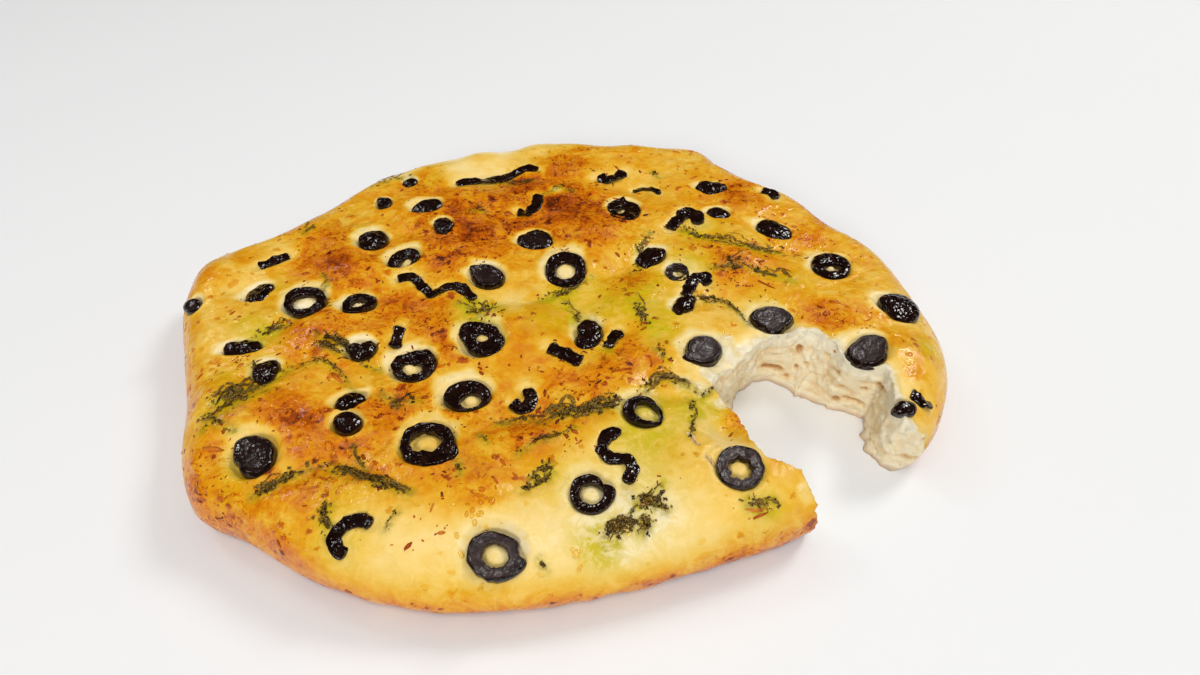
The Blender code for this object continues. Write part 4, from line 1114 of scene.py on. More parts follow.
def select_none() -> None:
    """Leaves edit mode if it is on, and deselects every object."""
    if bpy.context.object and bpy.context.object.mode != "OBJECT":
        bpy.ops.object.mode_set(mode="OBJECT")
    bpy.ops.object.select_all(action="DESELECT")


def read_places(mesh: bpy.types.Mesh) -> Array:
    """Reads where a mesh's corners are.

    Args:
        mesh: the mesh.

    Returns:
        One row for each corner.
    """
    places = np.empty(len(mesh.vertices) * 3)
    mesh.vertices.foreach_get("co", places)
    return places.reshape(-1, 3)


def write_places(mesh: bpy.types.Mesh, places: Array) -> None:
    """Moves the mesh's corners."""
    mesh.vertices.foreach_set("co", np.ascontiguousarray(places, float).ravel())
    mesh.update()


def write_attribute(mesh: bpy.types.Mesh, name: str, values: Array) -> None:
    """Gives each corner a value that a material reads."""
    layer = mesh.attributes.new(name, "FLOAT", "POINT")
    layer.data.foreach_set("value", np.ascontiguousarray(values, float))


def finish_piece(piece: Piece, material: Material, nodes: tuple[str, ...]) -> None:
    """Dresses a finished piece, and ties it to the frame.

    Args:
        piece: the object, with its place in its mesh.
        material: what it is made of.
        nodes: the CAD nodes that it stands for.
    """
    piece.data.materials.clear()
    piece.data.materials.append(material)
    piece.data.shade_smooth()
    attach(piece, "root")
    if nodes:
        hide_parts(*nodes)
    LOG.info("%s: %d corners", piece.name, len(piece.data.vertices))


def wrap_rings(rings: Array, name: str) -> Piece:
    """Wraps a sheet round a stack of rings and closes its ends.

    Args:
        rings: the rings' corners, ring by ring.
        name: the object's name.

    Returns:
        The closed object.
    """
    levels, corners, _ = rings.shape
    select_none()
    bpy.ops.mesh.primitive_grid_add(x_subdivisions=corners, y_subdivisions=levels - 1, size=2)
    sheet = bpy.context.object
    sheet.name = name
    flat = read_places(sheet.data)
    column = np.rint((flat[:, 0] + 1) / 2 * corners).astype(int) % corners
    row = np.rint((flat[:, 1] + 1) / 2 * (levels - 1)).astype(int)
    write_places(sheet.data, rings[row, column])
    bpy.ops.object.mode_set(mode="EDIT")
    bpy.ops.mesh.select_all(action="SELECT")
    bpy.ops.mesh.remove_doubles(threshold=TOUCHING)
    bpy.ops.mesh.select_all(action="DESELECT")
    bpy.ops.mesh.select_mode(type="EDGE")
    bpy.ops.mesh.select_non_manifold()
    bpy.ops.mesh.edge_face_add()
    bpy.ops.mesh.select_all(action="SELECT")
    bpy.ops.mesh.normals_make_consistent(inside=False)
    bpy.ops.object.mode_set(mode="OBJECT")
    return sheet


@dataclass
class Loaf:
    """The bread itself: domed crust, side wall and foot, torn open at the gap."""

    form: LoafForm
    cells: int = 240
    rim_crowding: float = 0.86
    edge_margin: float = 14 * MM
    dough_relief: tuple[Point, ...] = ((15, 0.55), (7.5, 0.32), (3.4, 0.14))
    hollow_start: float = 0.55
    hug: float = 0.6 * MM
    hole_dome: float = 2.3 * MM
    strip_groove: float = 1.0 * MM
    ripple: float = 0.35 * MM
    ripple_length: float = 9 * MM
    side_rings: tuple[Point, ...] = (
        (10.8, 0.1), (9.6, 0.35), (8.5, 0.6), (6.8, 1.15), (5.0, 1.8), (3.4, 2.7),
        (2.0, 3.8), (0.9, 5.1), (0.2, 6.2), (0.0, 7.0),
    )
    tear_top: float = 27 * MM
    tear_step: float = 0.75 * MM
    tear_levels: int = 56
    tear_low: float = -5 * MM
    tear_high: float = 48 * MM
    tear_over: float = 1.1
    tear_smoothing: int = 27
    torn_within: float = 0.9 * MM
    weld: float = 0.02 * MM
    sole_hollow: float = 0.6 * MM
    base_bake: float = 0.375
    deep_bake: float = 0.56
    shade_noise: Relief = field(default_factory=lambda: Relief(5))
    crumb_noise: Relief = field(default_factory=lambda: Relief(9))

    def crust(self, x: Array, y: Array) -> Array:
        """Height of the finished crust, with its hollows, creases and fine unevenness.

        Args:
            x, y: the places in plan.

        Returns:
            The heights over the table.
        """
        form = self.form
        level = form.body_height(x, y)
        inner = ease(form.inset(x, y) / self.edge_margin)
        for points, width, depth in CREASES:
            far = form.from_line(x, y, points, 2.5 * MM)
            level = level - depth * MM * bell(far / (width * MM)) * inner
        for length, size in self.dough_relief:
            scale = length * MM
            level = level + size * MM * self.shade_noise.at(x / scale + 50, y / scale + 50, length) * inner
        for seat in form.seats.values():
            along, aside, far = seat.spread(x, y)
            press = 1 - ease((far - self.hollow_start) / (form.hollow_reach - 1))
            near = press > 0
            floor = seat.floor(x[near], y[near])
            base = level[near]
            level[near] = base + (np.minimum(floor, base) - base) * press[near]
            level[near] += self.hug * bell((far[near] - 1.18) / 0.18)
            if seat.hole > 0:
                centre = np.hypot(along[near] - seat.shift[0], aside[near] - seat.shift[1])
                level[near] += self.hole_dome * np.clip(1 - (centre / (seat.hole * 1.15)) ** 2, 0, 1) ** 0.6
        for width, points in STRIPS:
            far = form.from_line(x, y, points, 2 * MM)
            level = level - self.strip_groove * np.exp(-((far / (width * 0.62 * MM)) ** 4))
        shreds = self.shade_noise.at(x / (1.5 * MM), y / (2.4 * MM), 3.2)
        return level - self.crack_depth(x, y) - self.peel(x, y) * (0.5 + 0.6 * shreds) * MM

    def peel(self, x: Array, y: Array) -> Array:
        """How far the skin has come off the crust.

        Args:
            x, y: the places in plan.

        Returns:
            From 0 to 1 for each place.
        """
        share = np.zeros(len(x))
        ragged = 1 + 0.45 * self.shade_noise.at(x / (4 * MM), y / (4 * MM), 20.5)
        for point, reach, amount in PEELED:
            spot = VIEW.sight(point, self.form.crust_height)
            far = np.hypot(x - spot[0], y - spot[1]) / (reach * ragged * MM)
            share = np.maximum(share, amount * (1 - ease((far - 0.55) / 0.7)))
        return share

    def crack_depth(self, x: Array, y: Array) -> Array:
        """How deep the crust is split.

        Args:
            x, y: the places in plan.

        Returns:
            The depth at each place, in metres.
        """
        depth = np.zeros(len(x))
        wander = np.clip(1 + 1.5 * self.shade_noise.at(x / (2.2 * MM), y / (2.2 * MM), 12.5), 0.25, 2.2)
        for points, width, deep in CRACKS:
            far = self.form.from_line(x, y, points, 1 * MM)
            depth = np.maximum(depth, deep * MM * bell(far / (width * wander * MM)))
        return depth

    def build_body(self) -> Piece:
        """Models the whole loaf, before it is torn.

        Returns:
            The loaf's object.
        """
        select_none()
        bpy.ops.mesh.primitive_grid_add(x_subdivisions=self.cells, y_subdivisions=self.cells, size=2)
        loaf = bpy.context.object
        loaf.name = "bread_loaf"
        square = read_places(loaf.data)
        u, v = square[:, 0], square[:, 1]
        wide = np.abs(u) >= np.abs(v)
        major = np.where(wide, u, v)
        lean = math.pi / 4 * np.where(wide, v, u) / np.where(major == 0, 1.0, major)
        turn = np.where(wide, lean, math.pi / 2 - lean) + math.pi * (major < 0)
        reach = np.abs(major) ** self.rim_crowding * self.form.reach(turn)
        x = reach * np.cos(turn) - self.form.middle[0]
        y = reach * np.sin(turn) - self.form.middle[1]
        write_places(loaf.data, np.stack([x, y, self.crust(x, y)], axis=1))
        self.model_side(loaf)
        return loaf

    def model_side(self, loaf: Piece) -> None:
        """Draws the rim down into a rounded side wall, and closes the foot.

        Args:
            loaf: the loaf, which has only its crust as yet.
        """
        bpy.ops.object.mode_set(mode="EDIT")
        bpy.ops.mesh.select_mode(type="EDGE")
        bpy.ops.mesh.select_all(action="DESELECT")
        bpy.ops.mesh.select_non_manifold()
        inset_so_far = 0.0
        for height, inset in self.side_rings:
            bpy.ops.mesh.extrude_region_move()
            rim = bmesh.from_edit_mesh(loaf.data)
            for vert in rim.verts:
                if vert.select:
                    flat = Vector((vert.co.x + self.form.middle[0], vert.co.y + self.form.middle[1]))
                    place = Vector((vert.co.x, vert.co.y, height * MM))
                    ripple = self.ripple * noise.noise(place / self.ripple_length) * (0 < height < 9)
                    flat *= 1 - ((inset - inset_so_far) * MM + ripple) / flat.length
                    vert.co = (flat.x - self.form.middle[0], flat.y - self.form.middle[1], height * MM)
            bmesh.update_edit_mesh(loaf.data)
            inset_so_far = inset
        bpy.ops.mesh.edge_face_add()
        bpy.ops.mesh.select_mode(type="FACE")
        bpy.ops.mesh.poke()
        foot = bmesh.from_edit_mesh(loaf.data)
        middle = max(foot.verts, key=lambda vert: len(vert.link_edges))
        middle.co.z = self.sole_hollow
        bmesh.update_edit_mesh(loaf.data)
        bpy.ops.mesh.select_all(action="SELECT")
        bpy.ops.mesh.normals_make_consistent(inside=False)
        bpy.ops.object.mode_set(mode="OBJECT")

    def tear_shift(self, run: Array, height: float) -> tuple[float, Array, Array]:
        """How the torn crumb stands out into the gap at one level.

        Args:
            run: distance along the torn edge.
            height: the level over the table.

        Returns:
            The share of the foot's lean, the roughness at each place, and how deep its pockets are from 0 to
            1, which the crumb's colour darkens as painted shade.
        """
        drawn_in = 1 - min(max(height / self.tear_top, 0.0), self.tear_over)
        relief = self.crumb_noise
        bands = relief.at(run / (9 * MM), height / (3.6 * MM), 1.3)
        shreds = relief.at(run / (3.4 * MM), height / (2.4 * MM), 7.7)
        fine = relief.at(run / (1.5 * MM), height / (1.2 * MM), 15.1)
        big = relief.at(run / (17 * MM), height / (12 * MM), 21.4)
        holes = ease((relief.at(run / (4.6 * MM), height / (3.0 * MM), 27.5) - 0.3) / 0.4)
        inner = ease((self.tear_top - height) / (5 * MM)) * ease((height - 1.6 * MM) / (2 * MM))
        rough = 1.1 * big + 0.55 * bands * inner + 0.85 * shreds * (0.4 + 0.6 * inner) + 0.6 * fine
        rough = rough - 1.8 * holes * inner
        lip = bell(height / (1.5 * MM)) * (0.9 + 1.3 * relief.at(run / (4 * MM), run * 0, 3.3))
        # How deep each place lies in the crumb's pockets; the material paints shade from it.
        pockets = np.clip(0.34 - 0.16 * bands - 0.24 * shreds - 0.14 * fine + 0.7 * holes, 0, 1) * inner
        return drawn_in, (rough + lip) * MM, pockets

    @staticmethod
    def even_out(rows: Array, width: int) -> Array:
        """Averages each row with its neighbours.

        Args:
            rows: the rows.
            width: how many of them to average over, an odd number.

        Returns:
            The averaged rows.
        """
        kernel = np.hanning(width + 2)[1:-1]
        kernel /= kernel.sum()
        padded = np.pad(rows, ((width // 2, width // 2), (0, 0)), "edge")
        return np.stack([np.convolve(column, kernel, "valid") for column in padded.T], axis=1)

    def build_tear(self) -> tuple[Piece, Array, Array]:
        """Models the torn-out piece as a cutter with ragged, fibrous sides.

        Returns:
            The cutter, the places of its torn side, and how deep the pockets are there.
        """
        edge = [(*VIEW.sight(point, self.tear_top), jut * MM) for point, jut in TEAR_EDGE]
        edge = spread_points(edge, self.tear_step)
        ahead = np.gradient(edge[:, :2], axis=0)
        ahead = self.even_out(ahead, self.tear_smoothing)
        ahead /= np.linalg.norm(ahead, axis=1)[:, None]
        inward = np.stack([ahead[:, 1], -ahead[:, 0]], axis=1)
        lean = self.even_out(inward * edge[:, 2:], self.tear_smoothing)
        run = np.arange(len(edge)) * self.tear_step
        outside = np.array([VIEW.sight(point, self.tear_top) for point in TEAR_OUTSIDE])
        heights = np.linspace(self.tear_low, self.tear_high, self.tear_levels)
        rings = []
        places = []
        depths = []
        for height in heights:
            share, rough, pockets = self.tear_shift(run, height)
            torn = edge[:, :2] + lean * share + inward * rough[:, None]
            ring = np.concatenate([torn, outside])
            rings.append(np.column_stack([ring, np.full(len(ring), height)]))
            places.append(rings[-1][: len(torn)])
            depths.append(pockets)
        cutter = wrap_rings(np.array(rings), "tear_cutter")
        return cutter, np.concatenate(places), np.concatenate(depths)

    def cut(self, loaf: Piece, cutter: Piece) -> None:
        """Tears the gap out of the loaf, and drops what is left loose.

        Args:
            loaf: the loaf.
            cutter: the torn-out piece, which is removed.
        """
        select_none()
        bpy.context.view_layer.objects.active = loaf
        loaf.select_set(True)
        tear = loaf.modifiers.new("tear", "BOOLEAN")
        tear.solver = "MANIFOLD"
        tear.operation = "DIFFERENCE"
        tear.object = cutter
        bpy.ops.object.modifier_apply(modifier=tear.name)
        bpy.data.objects.remove(cutter)
        body = bmesh.new()
        body.from_mesh(loaf.data)
        bmesh.ops.triangulate(body, faces=body.faces)
        bmesh.ops.remove_doubles(body, verts=body.verts, dist=self.weld)
        reached = [min(body.verts, key=lambda vert: vert.co.x)]
        loose = set(body.verts) - set(reached)
        while reached:
            vert = reached.pop()
            beside = {edge.other_vert(vert) for edge in vert.link_edges} & loose
            loose -= beside
            reached.extend(beside)
        bmesh.ops.delete(body, geom=list(loose), context="VERTS")
        body.to_mesh(loaf.data)
        body.free()

    def shade(self, loaf: Piece, torn: Array, depths: Array) -> None:
        """Writes what the material reads: how baked, oiled and torn each corner is.

        Args:
            loaf: the torn loaf.
            torn: places of the torn side.
            depths: how deep the pockets are at those places.
        """
        form = self.form
        places = read_places(loaf.data)
        x, y, z = places.T
        inset = form.inset(x, y)
        ragged = self.shade_noise.at(x / (5 * MM) + 31, y / (5 * MM), 8.1)
        crumb, pocket_shade, rim = self.near_tear(places, torn, depths, ragged)
        crumb = crumb * np.maximum(ease((self.crust(x, y) - z) / (0.9 * MM)), 0.25)
        peeled = self.peel(x, y)
        split = self.crack_depth(x, y) * (z > 4 * MM)
        for other in (0.6 * rim ** 2, 0.46 * peeled * (z > 14 * MM), np.clip(split / (1.0 * MM), 0, 0.8)):
            crumb = np.maximum(crumb, other)
        # Painted shade: the inside of a crack darkens like the crumb's pockets.
        pocket_shade = np.maximum(pocket_shade, np.clip(split / (0.8 * MM), 0, 1))
        wall = ease((form.side_height + 12 * MM - z) / (12 * MM)) * (1 - crumb)
        bake = np.full(len(places), self.base_bake)
        swell = form.body_height(x, y) - form.crust_height
        bake += np.clip(swell / MM, -1.5, 4) * 0.035 * ease((inset - 5 * MM) / (16 * MM))
        form.add_zones(bake, x, y, BAKED)
        bake = np.where(bake > self.deep_bake, self.deep_bake + 0.6 * (bake - self.deep_bake), bake)
        bake += (0.04 - bake) * np.clip(rim + peeled, 0, 1) * 0.8
        uneven = 0.5 + 0.5 * self.shade_noise.at(x / (16 * MM) + 9, y / (16 * MM) + 9, 4.4)
        pale = 0.6 + 0.4 * ease((y + 0.11) / 0.06)
        # Pale halos round the olives: less baked dough, partly painted light on the dimples' back-left
        # slopes.
        bake += (0.01 - bake) * self.halo(x, y, ragged, uneven) * (0.62 + 0.38 * uneven) * pale
        bake = np.clip(bake, 0.01, 1.0) * (1 - 0.6 * wall)
        turn = np.degrees(np.arctan2(y, x))
        foot = ease((26 * MM - z) / (18 * MM)) * (1 - crumb)
        side = np.interp(turn, *np.array(SIDE_BAKE).T)
        bake += foot * (side + 0.06 * ragged + 0.2 * ease((3 * MM - z) / (2 * MM)))
        rear = ease((y - 0.02) / 0.05)
        bake += 0.34 * rear * (1 - ease((inset - 7.5 * MM) / (3.5 * MM))) * (1 + 0.4 * ragged)
        bake -= 0.24 * bell((turn - 108) / 26) * bell((inset - 12.5 * MM) / (4 * MM))
        oil = np.zeros(len(places))
        form.add_zones(oil, x, y, OILED)
        stain = np.zeros(len(places))
        for points, width, _ in STRANDS:
            reach = (1.3 + 0.15 * width) * MM
            stain = np.maximum(stain, bell(form.from_line(x, y, points, 2 * MM) / reach))
        stain *= z > 15 * MM
        oil = np.clip((oil + 0.35 * stain) * 1.6, 0, 1) * (1 - wall)
        sole = ease((1.2 * MM - z) / (1.2 * MM)) * (1 - crumb)
        sole += 0.5 * ease((2.6 * MM - z) / (1.8 * MM)) * crumb
        values = {"bake": np.maximum(bake, 0.02), "oil": oil, "crumb": crumb, "pocket_shade": pocket_shade, "sole": sole}
        for name, amounts in {**values, "stain": stain}.items():
            write_attribute(loaf.data, name, amounts)

    def near_tear(self, places: Array, torn: Array, depths: Array, ragged: Array) -> Array:
        """Finds the corners on the torn side and those round its rim.

        Args:
            places: the loaf's corners.
            torn: places of the torn side.
            depths: how deep the pockets are at those places.
            ragged: uneven relief at each corner.

        Returns:
            Three rows from 0 to 1: how torn each corner is, how deep it lies in the crumb's pockets, which is
            painted as shade, and how near the rim.
        """
        masks = np.zeros((3, len(places)))
        low = np.array([*torn[:, :2].min(axis=0), -1.0]) - 3 * MM
        high = np.array([*torn[:, :2].max(axis=0), 1.0]) + 3 * MM
        lookup = KDTree(len(torn))
        for index, place in enumerate(torn):
            lookup.insert(place, index)
        lookup.balance()
        columns = len(torn) // self.tear_levels
        for index in np.flatnonzero(np.all((places > low) & (places < high), axis=1)):
            _, found, far = lookup.find(places[index])
            if far < self.torn_within:
                masks[:2, index] = 1.0, depths[found]
            faces_viewer = ease(np.array((found % columns / columns - 0.36) / 0.08))
            masks[2, index] = faces_viewer * bell(far / ((3.6 + 1.6 * ragged[index]) * MM))
        return masks

    def halo(self, x: Array, y: Array, ragged: Array, uneven: Array) -> Array:
        """How pale the crust is beside the olives: less baked dough, and, shifted to the back-left of each
        olive, painted light on the dimple's slope.

        Args:
            x, y: the places in plan.
            ragged, uneven: finer and coarser relief at each place.

        Returns:
            From 0 to 1 for each place.
        """
        halo = np.zeros(len(x))
        for seat in self.form.seats.values():
            # Each halo is shifted to the back-left of its olive, where it is painted light.
            _, _, far = seat.spread(x + 0.2 * seat.half_wide, y - 0.34 * seat.half_deep)
            halo = np.maximum(halo, 1 - ease((far - 1.0 - 0.2 * ragged) / (0.3 + 0.4 * uneven)))
        for width, points in STRIPS:
            far = self.form.from_line(x + 0.6 * MM, y - 1.1 * MM, points, 2 * MM)
            halo = np.maximum(halo, 0.7 * bell(far / ((width * 0.95 + 0.8 * ragged) * MM)))
        return halo

    def build(self, dresser: Dresser) -> Piece:
        """Models, tears, shades and dresses the bread.

        Args:
            dresser: where its material comes from.

        Returns:
            The bread's object.
        """
        loaf = self.build_body()
        cutter, torn, depths = self.build_tear()
        self.cut(loaf, cutter)
        self.shade(loaf, torn, depths)
        finish_piece(loaf, dresser.bread(), ("bread",))
        return loaf


def drop(surface: BVHTree, place: Array) -> tuple:
    """Where a plumb line at a plan place meets the crust, and the crust's normal there."""
    return surface.ray_cast(Vector((place[0], place[1], PLUMB_FROM)), Vector((0, 0, -1)))[:2]


@dataclass
class Olives:
    """Every piece of olive, modelled to its traced outline and laid on its own seat."""

    form: LoafForm
    surface: BVHTree
    material: Material
    wrinkle: Relief = field(default_factory=lambda: Relief(17))
    wrinkle_length: float = 1.3 * MM
    wrinkle_size: float = 0.1 * MM
    strip_thick: float = 1.8 * MM
    strip_sides: int = 18
    strip_step: float = 0.6 * MM
    least_band: float = 0.9 * MM
    clearance: float = 0.2 * MM
    seen_share: float = 0.8
    lump_seen: float = 0.9

    def trace_plan(self, seat: Seat, quarter: Quarter, points: tuple[float, ...], high: float) -> Array:
        """Carries a traced outline down to the top of a slice.

        Args:
            seat: the slice's seat.
            quarter: the corner that the points are measured from.
            points: the outline, X and Y in turn.
            high: how far the slice's top is over its seat.

        Returns:
            The outline along and aside from the seat's middle.
        """
        spots = []
        for point in pairs(points):
            level = seat.level
            for _ in range(SIGHT_ROUNDS):
                place = VIEW.sight(quarter.place(point), level + high)
                level = float(seat.floor(place[0], place[1]))
            spots.append(place)
        along, aside, _ = seat.spread(*np.array(spots).T)
        return np.stack([along, aside], axis=1)

    @staticmethod
    def reach_at(outline: Array, middle: Array, angle: Array) -> Array:
        """How far an outline is from a middle in each direction.

        Args:
            outline: its corners.
            middle: the place that it is measured from.
            angle: the directions.

        Returns:
            The distances, by a curve through the corners.
        """
        apart = outline - middle
        turn = np.arctan2(apart[:, 1], apart[:, 0])
        order = np.argsort(turn)
        turn = turn[order]
        size = np.hypot(*apart[order].T)
        turn = np.concatenate([turn - math.tau, turn, turn + math.tau])
        fine = np.linspace(-math.pi, math.pi, 181)
        reach = np.interp(fine, turn, np.tile(size, 3))
        kernel = np.array([1, 3, 5, 6, 5, 3, 1], float)
        reach = np.convolve(np.concatenate([reach[-4:-1], reach, reach[1:4]]), kernel / kernel.sum(), "valid")
        return np.interp(angle, fine, reach)

    def crease(self, places: Array, seed: float, size: float) -> Array:
        """Moves corners in and out for wrinkled, lumpy skin.

        Args:
            places: the corners.
            seed: where in the relief to read.
            size: how strongly.

        Returns:
            The moved corners.
        """
        moved = places.copy()
        for axis in range(3):
            for length, share in ((self.wrinkle_length, 1.0), (self.wrinkle_length * 2.4, 1.8)):
                x, y, z = (places / length).T
                moved[:, axis] += size * share * self.wrinkle.at(x + seed, y + axis * 9.1, z + seed * 0.7)
        return moved

    def build_slice(self, name: str, high: float, trace: Trace) -> None:
        """Models a slice on its own seat: round its hole, or as a cap or a chunk without one.

        Args:
            name: the node that it stands for.
            high: its height in metres.
            trace: its outline, hole and face.
        """
        select_none()
        if trace.hole:
            bpy.ops.mesh.primitive_torus_add(
                major_segments=96, minor_segments=22, major_radius=1.0, minor_radius=0.25, location=(0, 0, 0)
            )
        else:
            bpy.ops.mesh.primitive_uv_sphere_add(segments=72, ring_count=32, radius=1.0, location=(0, 0, 0))
        piece = bpy.context.object
        piece.name = name.replace("olive", "slice")
        flat = read_places(piece.data)
        angle = np.arctan2(flat[:, 1], flat[:, 0])
        seat = self.form.seats[name]
        seen = high * self.seen_share * (1.0 if trace.hole else self.lump_seen)
        edge = self.trace_plan(seat, trace.quarter, trace.edge, seen)
        if trace.hole:
            hole = self.trace_plan(seat, trace.quarter, trace.hole, seen)
            seed = float(edge[0, 0] / MM % 17)
            middle = hole.mean(axis=0)
            reach, rise, radial, upward = self.ring_section(trace.face, flat, angle, edge, hole, seed, high)
            rough = 2.2 if trace.face is CRUMPLED else 1.0
        else:
            seed = float(edge[0, 0] / MM % 13)
            middle = edge.mean(axis=0)
            spread, rise = self.lump_section(trace.face, flat, angle, seed, high)
            reach = self.reach_at(edge, middle, angle) * spread
            radial, upward = spread * 2 - 1, flat[:, 2] * 4
            rough = {RIMMED: 0.9, DOMED: 0.5, CRUMPLED: 2.6}[trace.face]
        places = np.column_stack([middle[0] + reach * np.cos(angle), middle[1] + reach * np.sin(angle), rise])
        places = self.crease(places, seed, self.wrinkle_size * rough)
        write_places(piece.data, self.seated(seat, places))
        face = ease((upward - 0.35) / 0.3) * ease((0.7 - radial) / 0.12) * trace.dull
        x, y = (turned * (radial + 1) / 2 * 6 + seed for turned in (np.cos(angle), np.sin(angle)))
        line = 0.46 + 0.3 * self.wrinkle.at(x, y, seed) + 0.22 * self.wrinkle.at(x * 2.6, y * 2.6, seed)
        write_attribute(piece.data, "cut", face)
        write_attribute(piece.data, "line", line - 0.5 * bell((radial - 0.6) / 0.07))
        finish_piece(piece, self.material, (name,))

    def ring_section(
        self, face: Face, flat: Array, angle: Array, edge: Array, hole: Array, seed: float, high: float
    ) -> tuple[Array, Array, Array, Array]:
        """Shapes the section of a slice round its hole.

        Args:
            face: what its top is like.
            flat: corners of a torus of radius 1.
            angle: each corner's direction.
            edge, hole: its outline and its hole's.
            seed: what makes it differ from the others.
            high: its height.

        Returns:
            Each corner's distance from the hole's middle and its rise over the seat, then how far out and
            how far up it is in the section, from -1 to 1.
        """
        radial = np.clip((np.hypot(flat[:, 0], flat[:, 1]) - 1.0) / 0.25, -1, 1)
        upward = np.clip(flat[:, 2] / 0.25, -1, 1)
        middle = hole.mean(axis=0)
        jagged = self.wrinkle.at(np.cos(angle) * 5 + seed, np.sin(angle) * 5 + seed, seed)
        outer = self.reach_at(edge, middle, angle) * (1 + 0.025 * jagged)
        inner = self.reach_at(hole, middle, angle) * (1 + 0.07 * jagged)
        inner = np.minimum(inner, outer - self.least_band)
        reach = inner + (outer - inner) * (0.5 + 0.5 * np.sign(radial) * np.abs(radial) ** 0.75)
        wave = 0.1 * np.sin(2 * angle + seed) + 0.06 * np.sin(5 * angle + 2 * seed)
        if face is DOMED:
            top = high * (0.8 + 0.26 * np.cos(radial * 1.3) + 0.3 * wave)
        else:
            lips = 0.26 * bell((radial - 0.74) / 0.17) + 0.16 * bell((radial + 0.74) / 0.2)
            top = high * (0.72 + lips + wave * (0.9 if face is CRUMPLED else 0.4))
        base = high * 0.45
        above = base + (top - base) * np.abs(upward) ** 0.5
        rise = np.where(upward > 0, above, base * (1 - np.abs(upward) ** 0.6))
        return reach, rise, radial, upward

    def lump_section(
        self, face: Face, flat: Array, angle: Array, seed: float, high: float
    ) -> tuple[Array, Array]:
        """Shapes the top of a slice with no hole.

        Args:
            face: what its top is like.
            flat: corners of a sphere of radius 1.
            angle: each corner's direction.
            seed: what makes it differ from the others.
            high: its height.

        Returns:
            Each corner's distance from the middle as a share of the outline's, and its rise over the seat.
        """
        out = np.clip(np.hypot(flat[:, 0], flat[:, 1]), 0, 1)
        upward = flat[:, 2]
        if face is RIMMED:
            spread = out ** 0.45
            ridges = 0.05 * self.wrinkle.at(flat[:, 0] * 4 + seed, flat[:, 1] * 4, seed)
            rim = 0.26 * bell((spread - 0.8) / 0.11) + ridges * ease((0.75 - spread) / 0.2)
            top = high * (0.7 + rim + 0.05 * np.sin(2 * angle + seed) * spread)
            inside = ease((1.02 - spread) / 0.1)
            top = top * inside + high * 0.35 * (1 - inside)
        elif face is DOMED:
            spread = out ** 0.85
            top = high * (0.45 + 0.55 * np.sqrt(np.clip(1 - spread ** 2, 0, 1)) ** 0.8)
        else:
            spread = out ** 0.7
            knobs = self.wrinkle.at(flat[:, 0] * 2.2 + seed, flat[:, 1] * 2.2, seed)
            dome = np.sqrt(np.clip(1 - spread ** 2.4, 0, 1))
            top = high * (0.42 + 0.5 * dome + 0.24 * knobs * (1 - spread))
        base = high * 0.35
        above = base + (top - base) * np.minimum(1, upward * 6) ** 0.5
        return spread, np.where(upward > 0, above, base * (1 - np.abs(upward) ** 0.6))

    def seated(self, seat: Seat, places: Array) -> Array:
        """Lays corners that are flat at the origin on a seat.

        Args:
            seat: the slice's seat.
            places: its corners.

        Returns:
            The corners in place.
        """
        up = Vector((-seat.slope[0], -seat.slope[1], 1))
        up.normalize()
        turn = math.radians(seat.turn)
        across = places[:, 0] * math.cos(turn) - places[:, 1] * math.sin(turn)
        deep = places[:, 0] * math.sin(turn) + places[:, 1] * math.cos(turn)
        high = places[:, 2] + self.clearance
        x = seat.middle[0] + across
        y = seat.middle[1] + deep
        return np.column_stack([x + high * up.x, y + high * up.y, seat.floor(x, y) + high * up.z])

    def build_strip(self, name: str, width: float, points: tuple[float, ...]) -> None:
        """Models a curl of olive skin along its route on the crust.

        Args:
            name: the node that it stands for.
            width: its width in mm.
            points: the photo points that it runs through, X and Y in turn.
        """
        step = self.strip_step
        smooth = Loaf.even_out(self.form.strip_route(points, step), 3)
        ahead = Loaf.even_out(np.gradient(smooth, axis=0), 3)
        ahead /= np.linalg.norm(ahead, axis=1)[:, None]
        aside = np.stack([-ahead[:, 1], ahead[:, 0]], axis=1)
        run = np.arange(len(smooth)) * step
        seed = float(sum(points[:2]) % 31)
        ragged = self.wrinkle.at(run / (2.8 * MM) + seed, run * 0, seed)
        ragged = 0.18 * ragged + 0.1 * self.wrinkle.at(run / (1.2 * MM) + seed, run * 0, seed + 5)
        half = width * 0.56 * MM * (1 + ragged)
        ends = np.minimum(np.arange(len(smooth)), np.arange(len(smooth))[::-1]) * step
        half = half * (0.5 + 0.5 * ease((ends + 0.3 * MM) / (1.4 * MM)))
        hits = [drop(self.surface, place)[0] for place in smooth]
        floor = np.array([hit.z if hit else self.form.crust_height for hit in hits])
        floor = np.convolve(np.pad(floor, 4, "edge"), np.ones(9) / 9, "valid")
        turn = np.linspace(0, math.tau, self.strip_sides, endpoint=False)
        across = np.sign(np.cos(turn)) * np.abs(np.cos(turn)) ** 0.35
        upward = np.sign(np.sin(turn)) * np.abs(np.sin(turn)) ** 0.55
        tip = 0.65 * self.wrinkle.at(run / (4 * MM) + seed, run * 0 + 5, seed)
        wide = np.outer(half, across)
        rise = self.strip_thick * (0.36 + 0.46 * upward) + 0.25 * MM * across ** 2
        rise = floor[:, None] + rise + wide * tip[:, None] * 0.6
        plan = smooth[:, None] + aside[:, None] * wide[..., None]
        strip = wrap_rings(np.concatenate([plan, rise[..., None]], axis=2), name.replace("olive", "curl"))
        places = self.crease(read_places(strip.data), seed, self.wrinkle_size * 2.0)
        write_places(strip.data, places)
        for attribute in ("cut", "line"):
            write_attribute(strip.data, attribute, np.zeros(len(places)))
        finish_piece(strip, self.material, (name,))

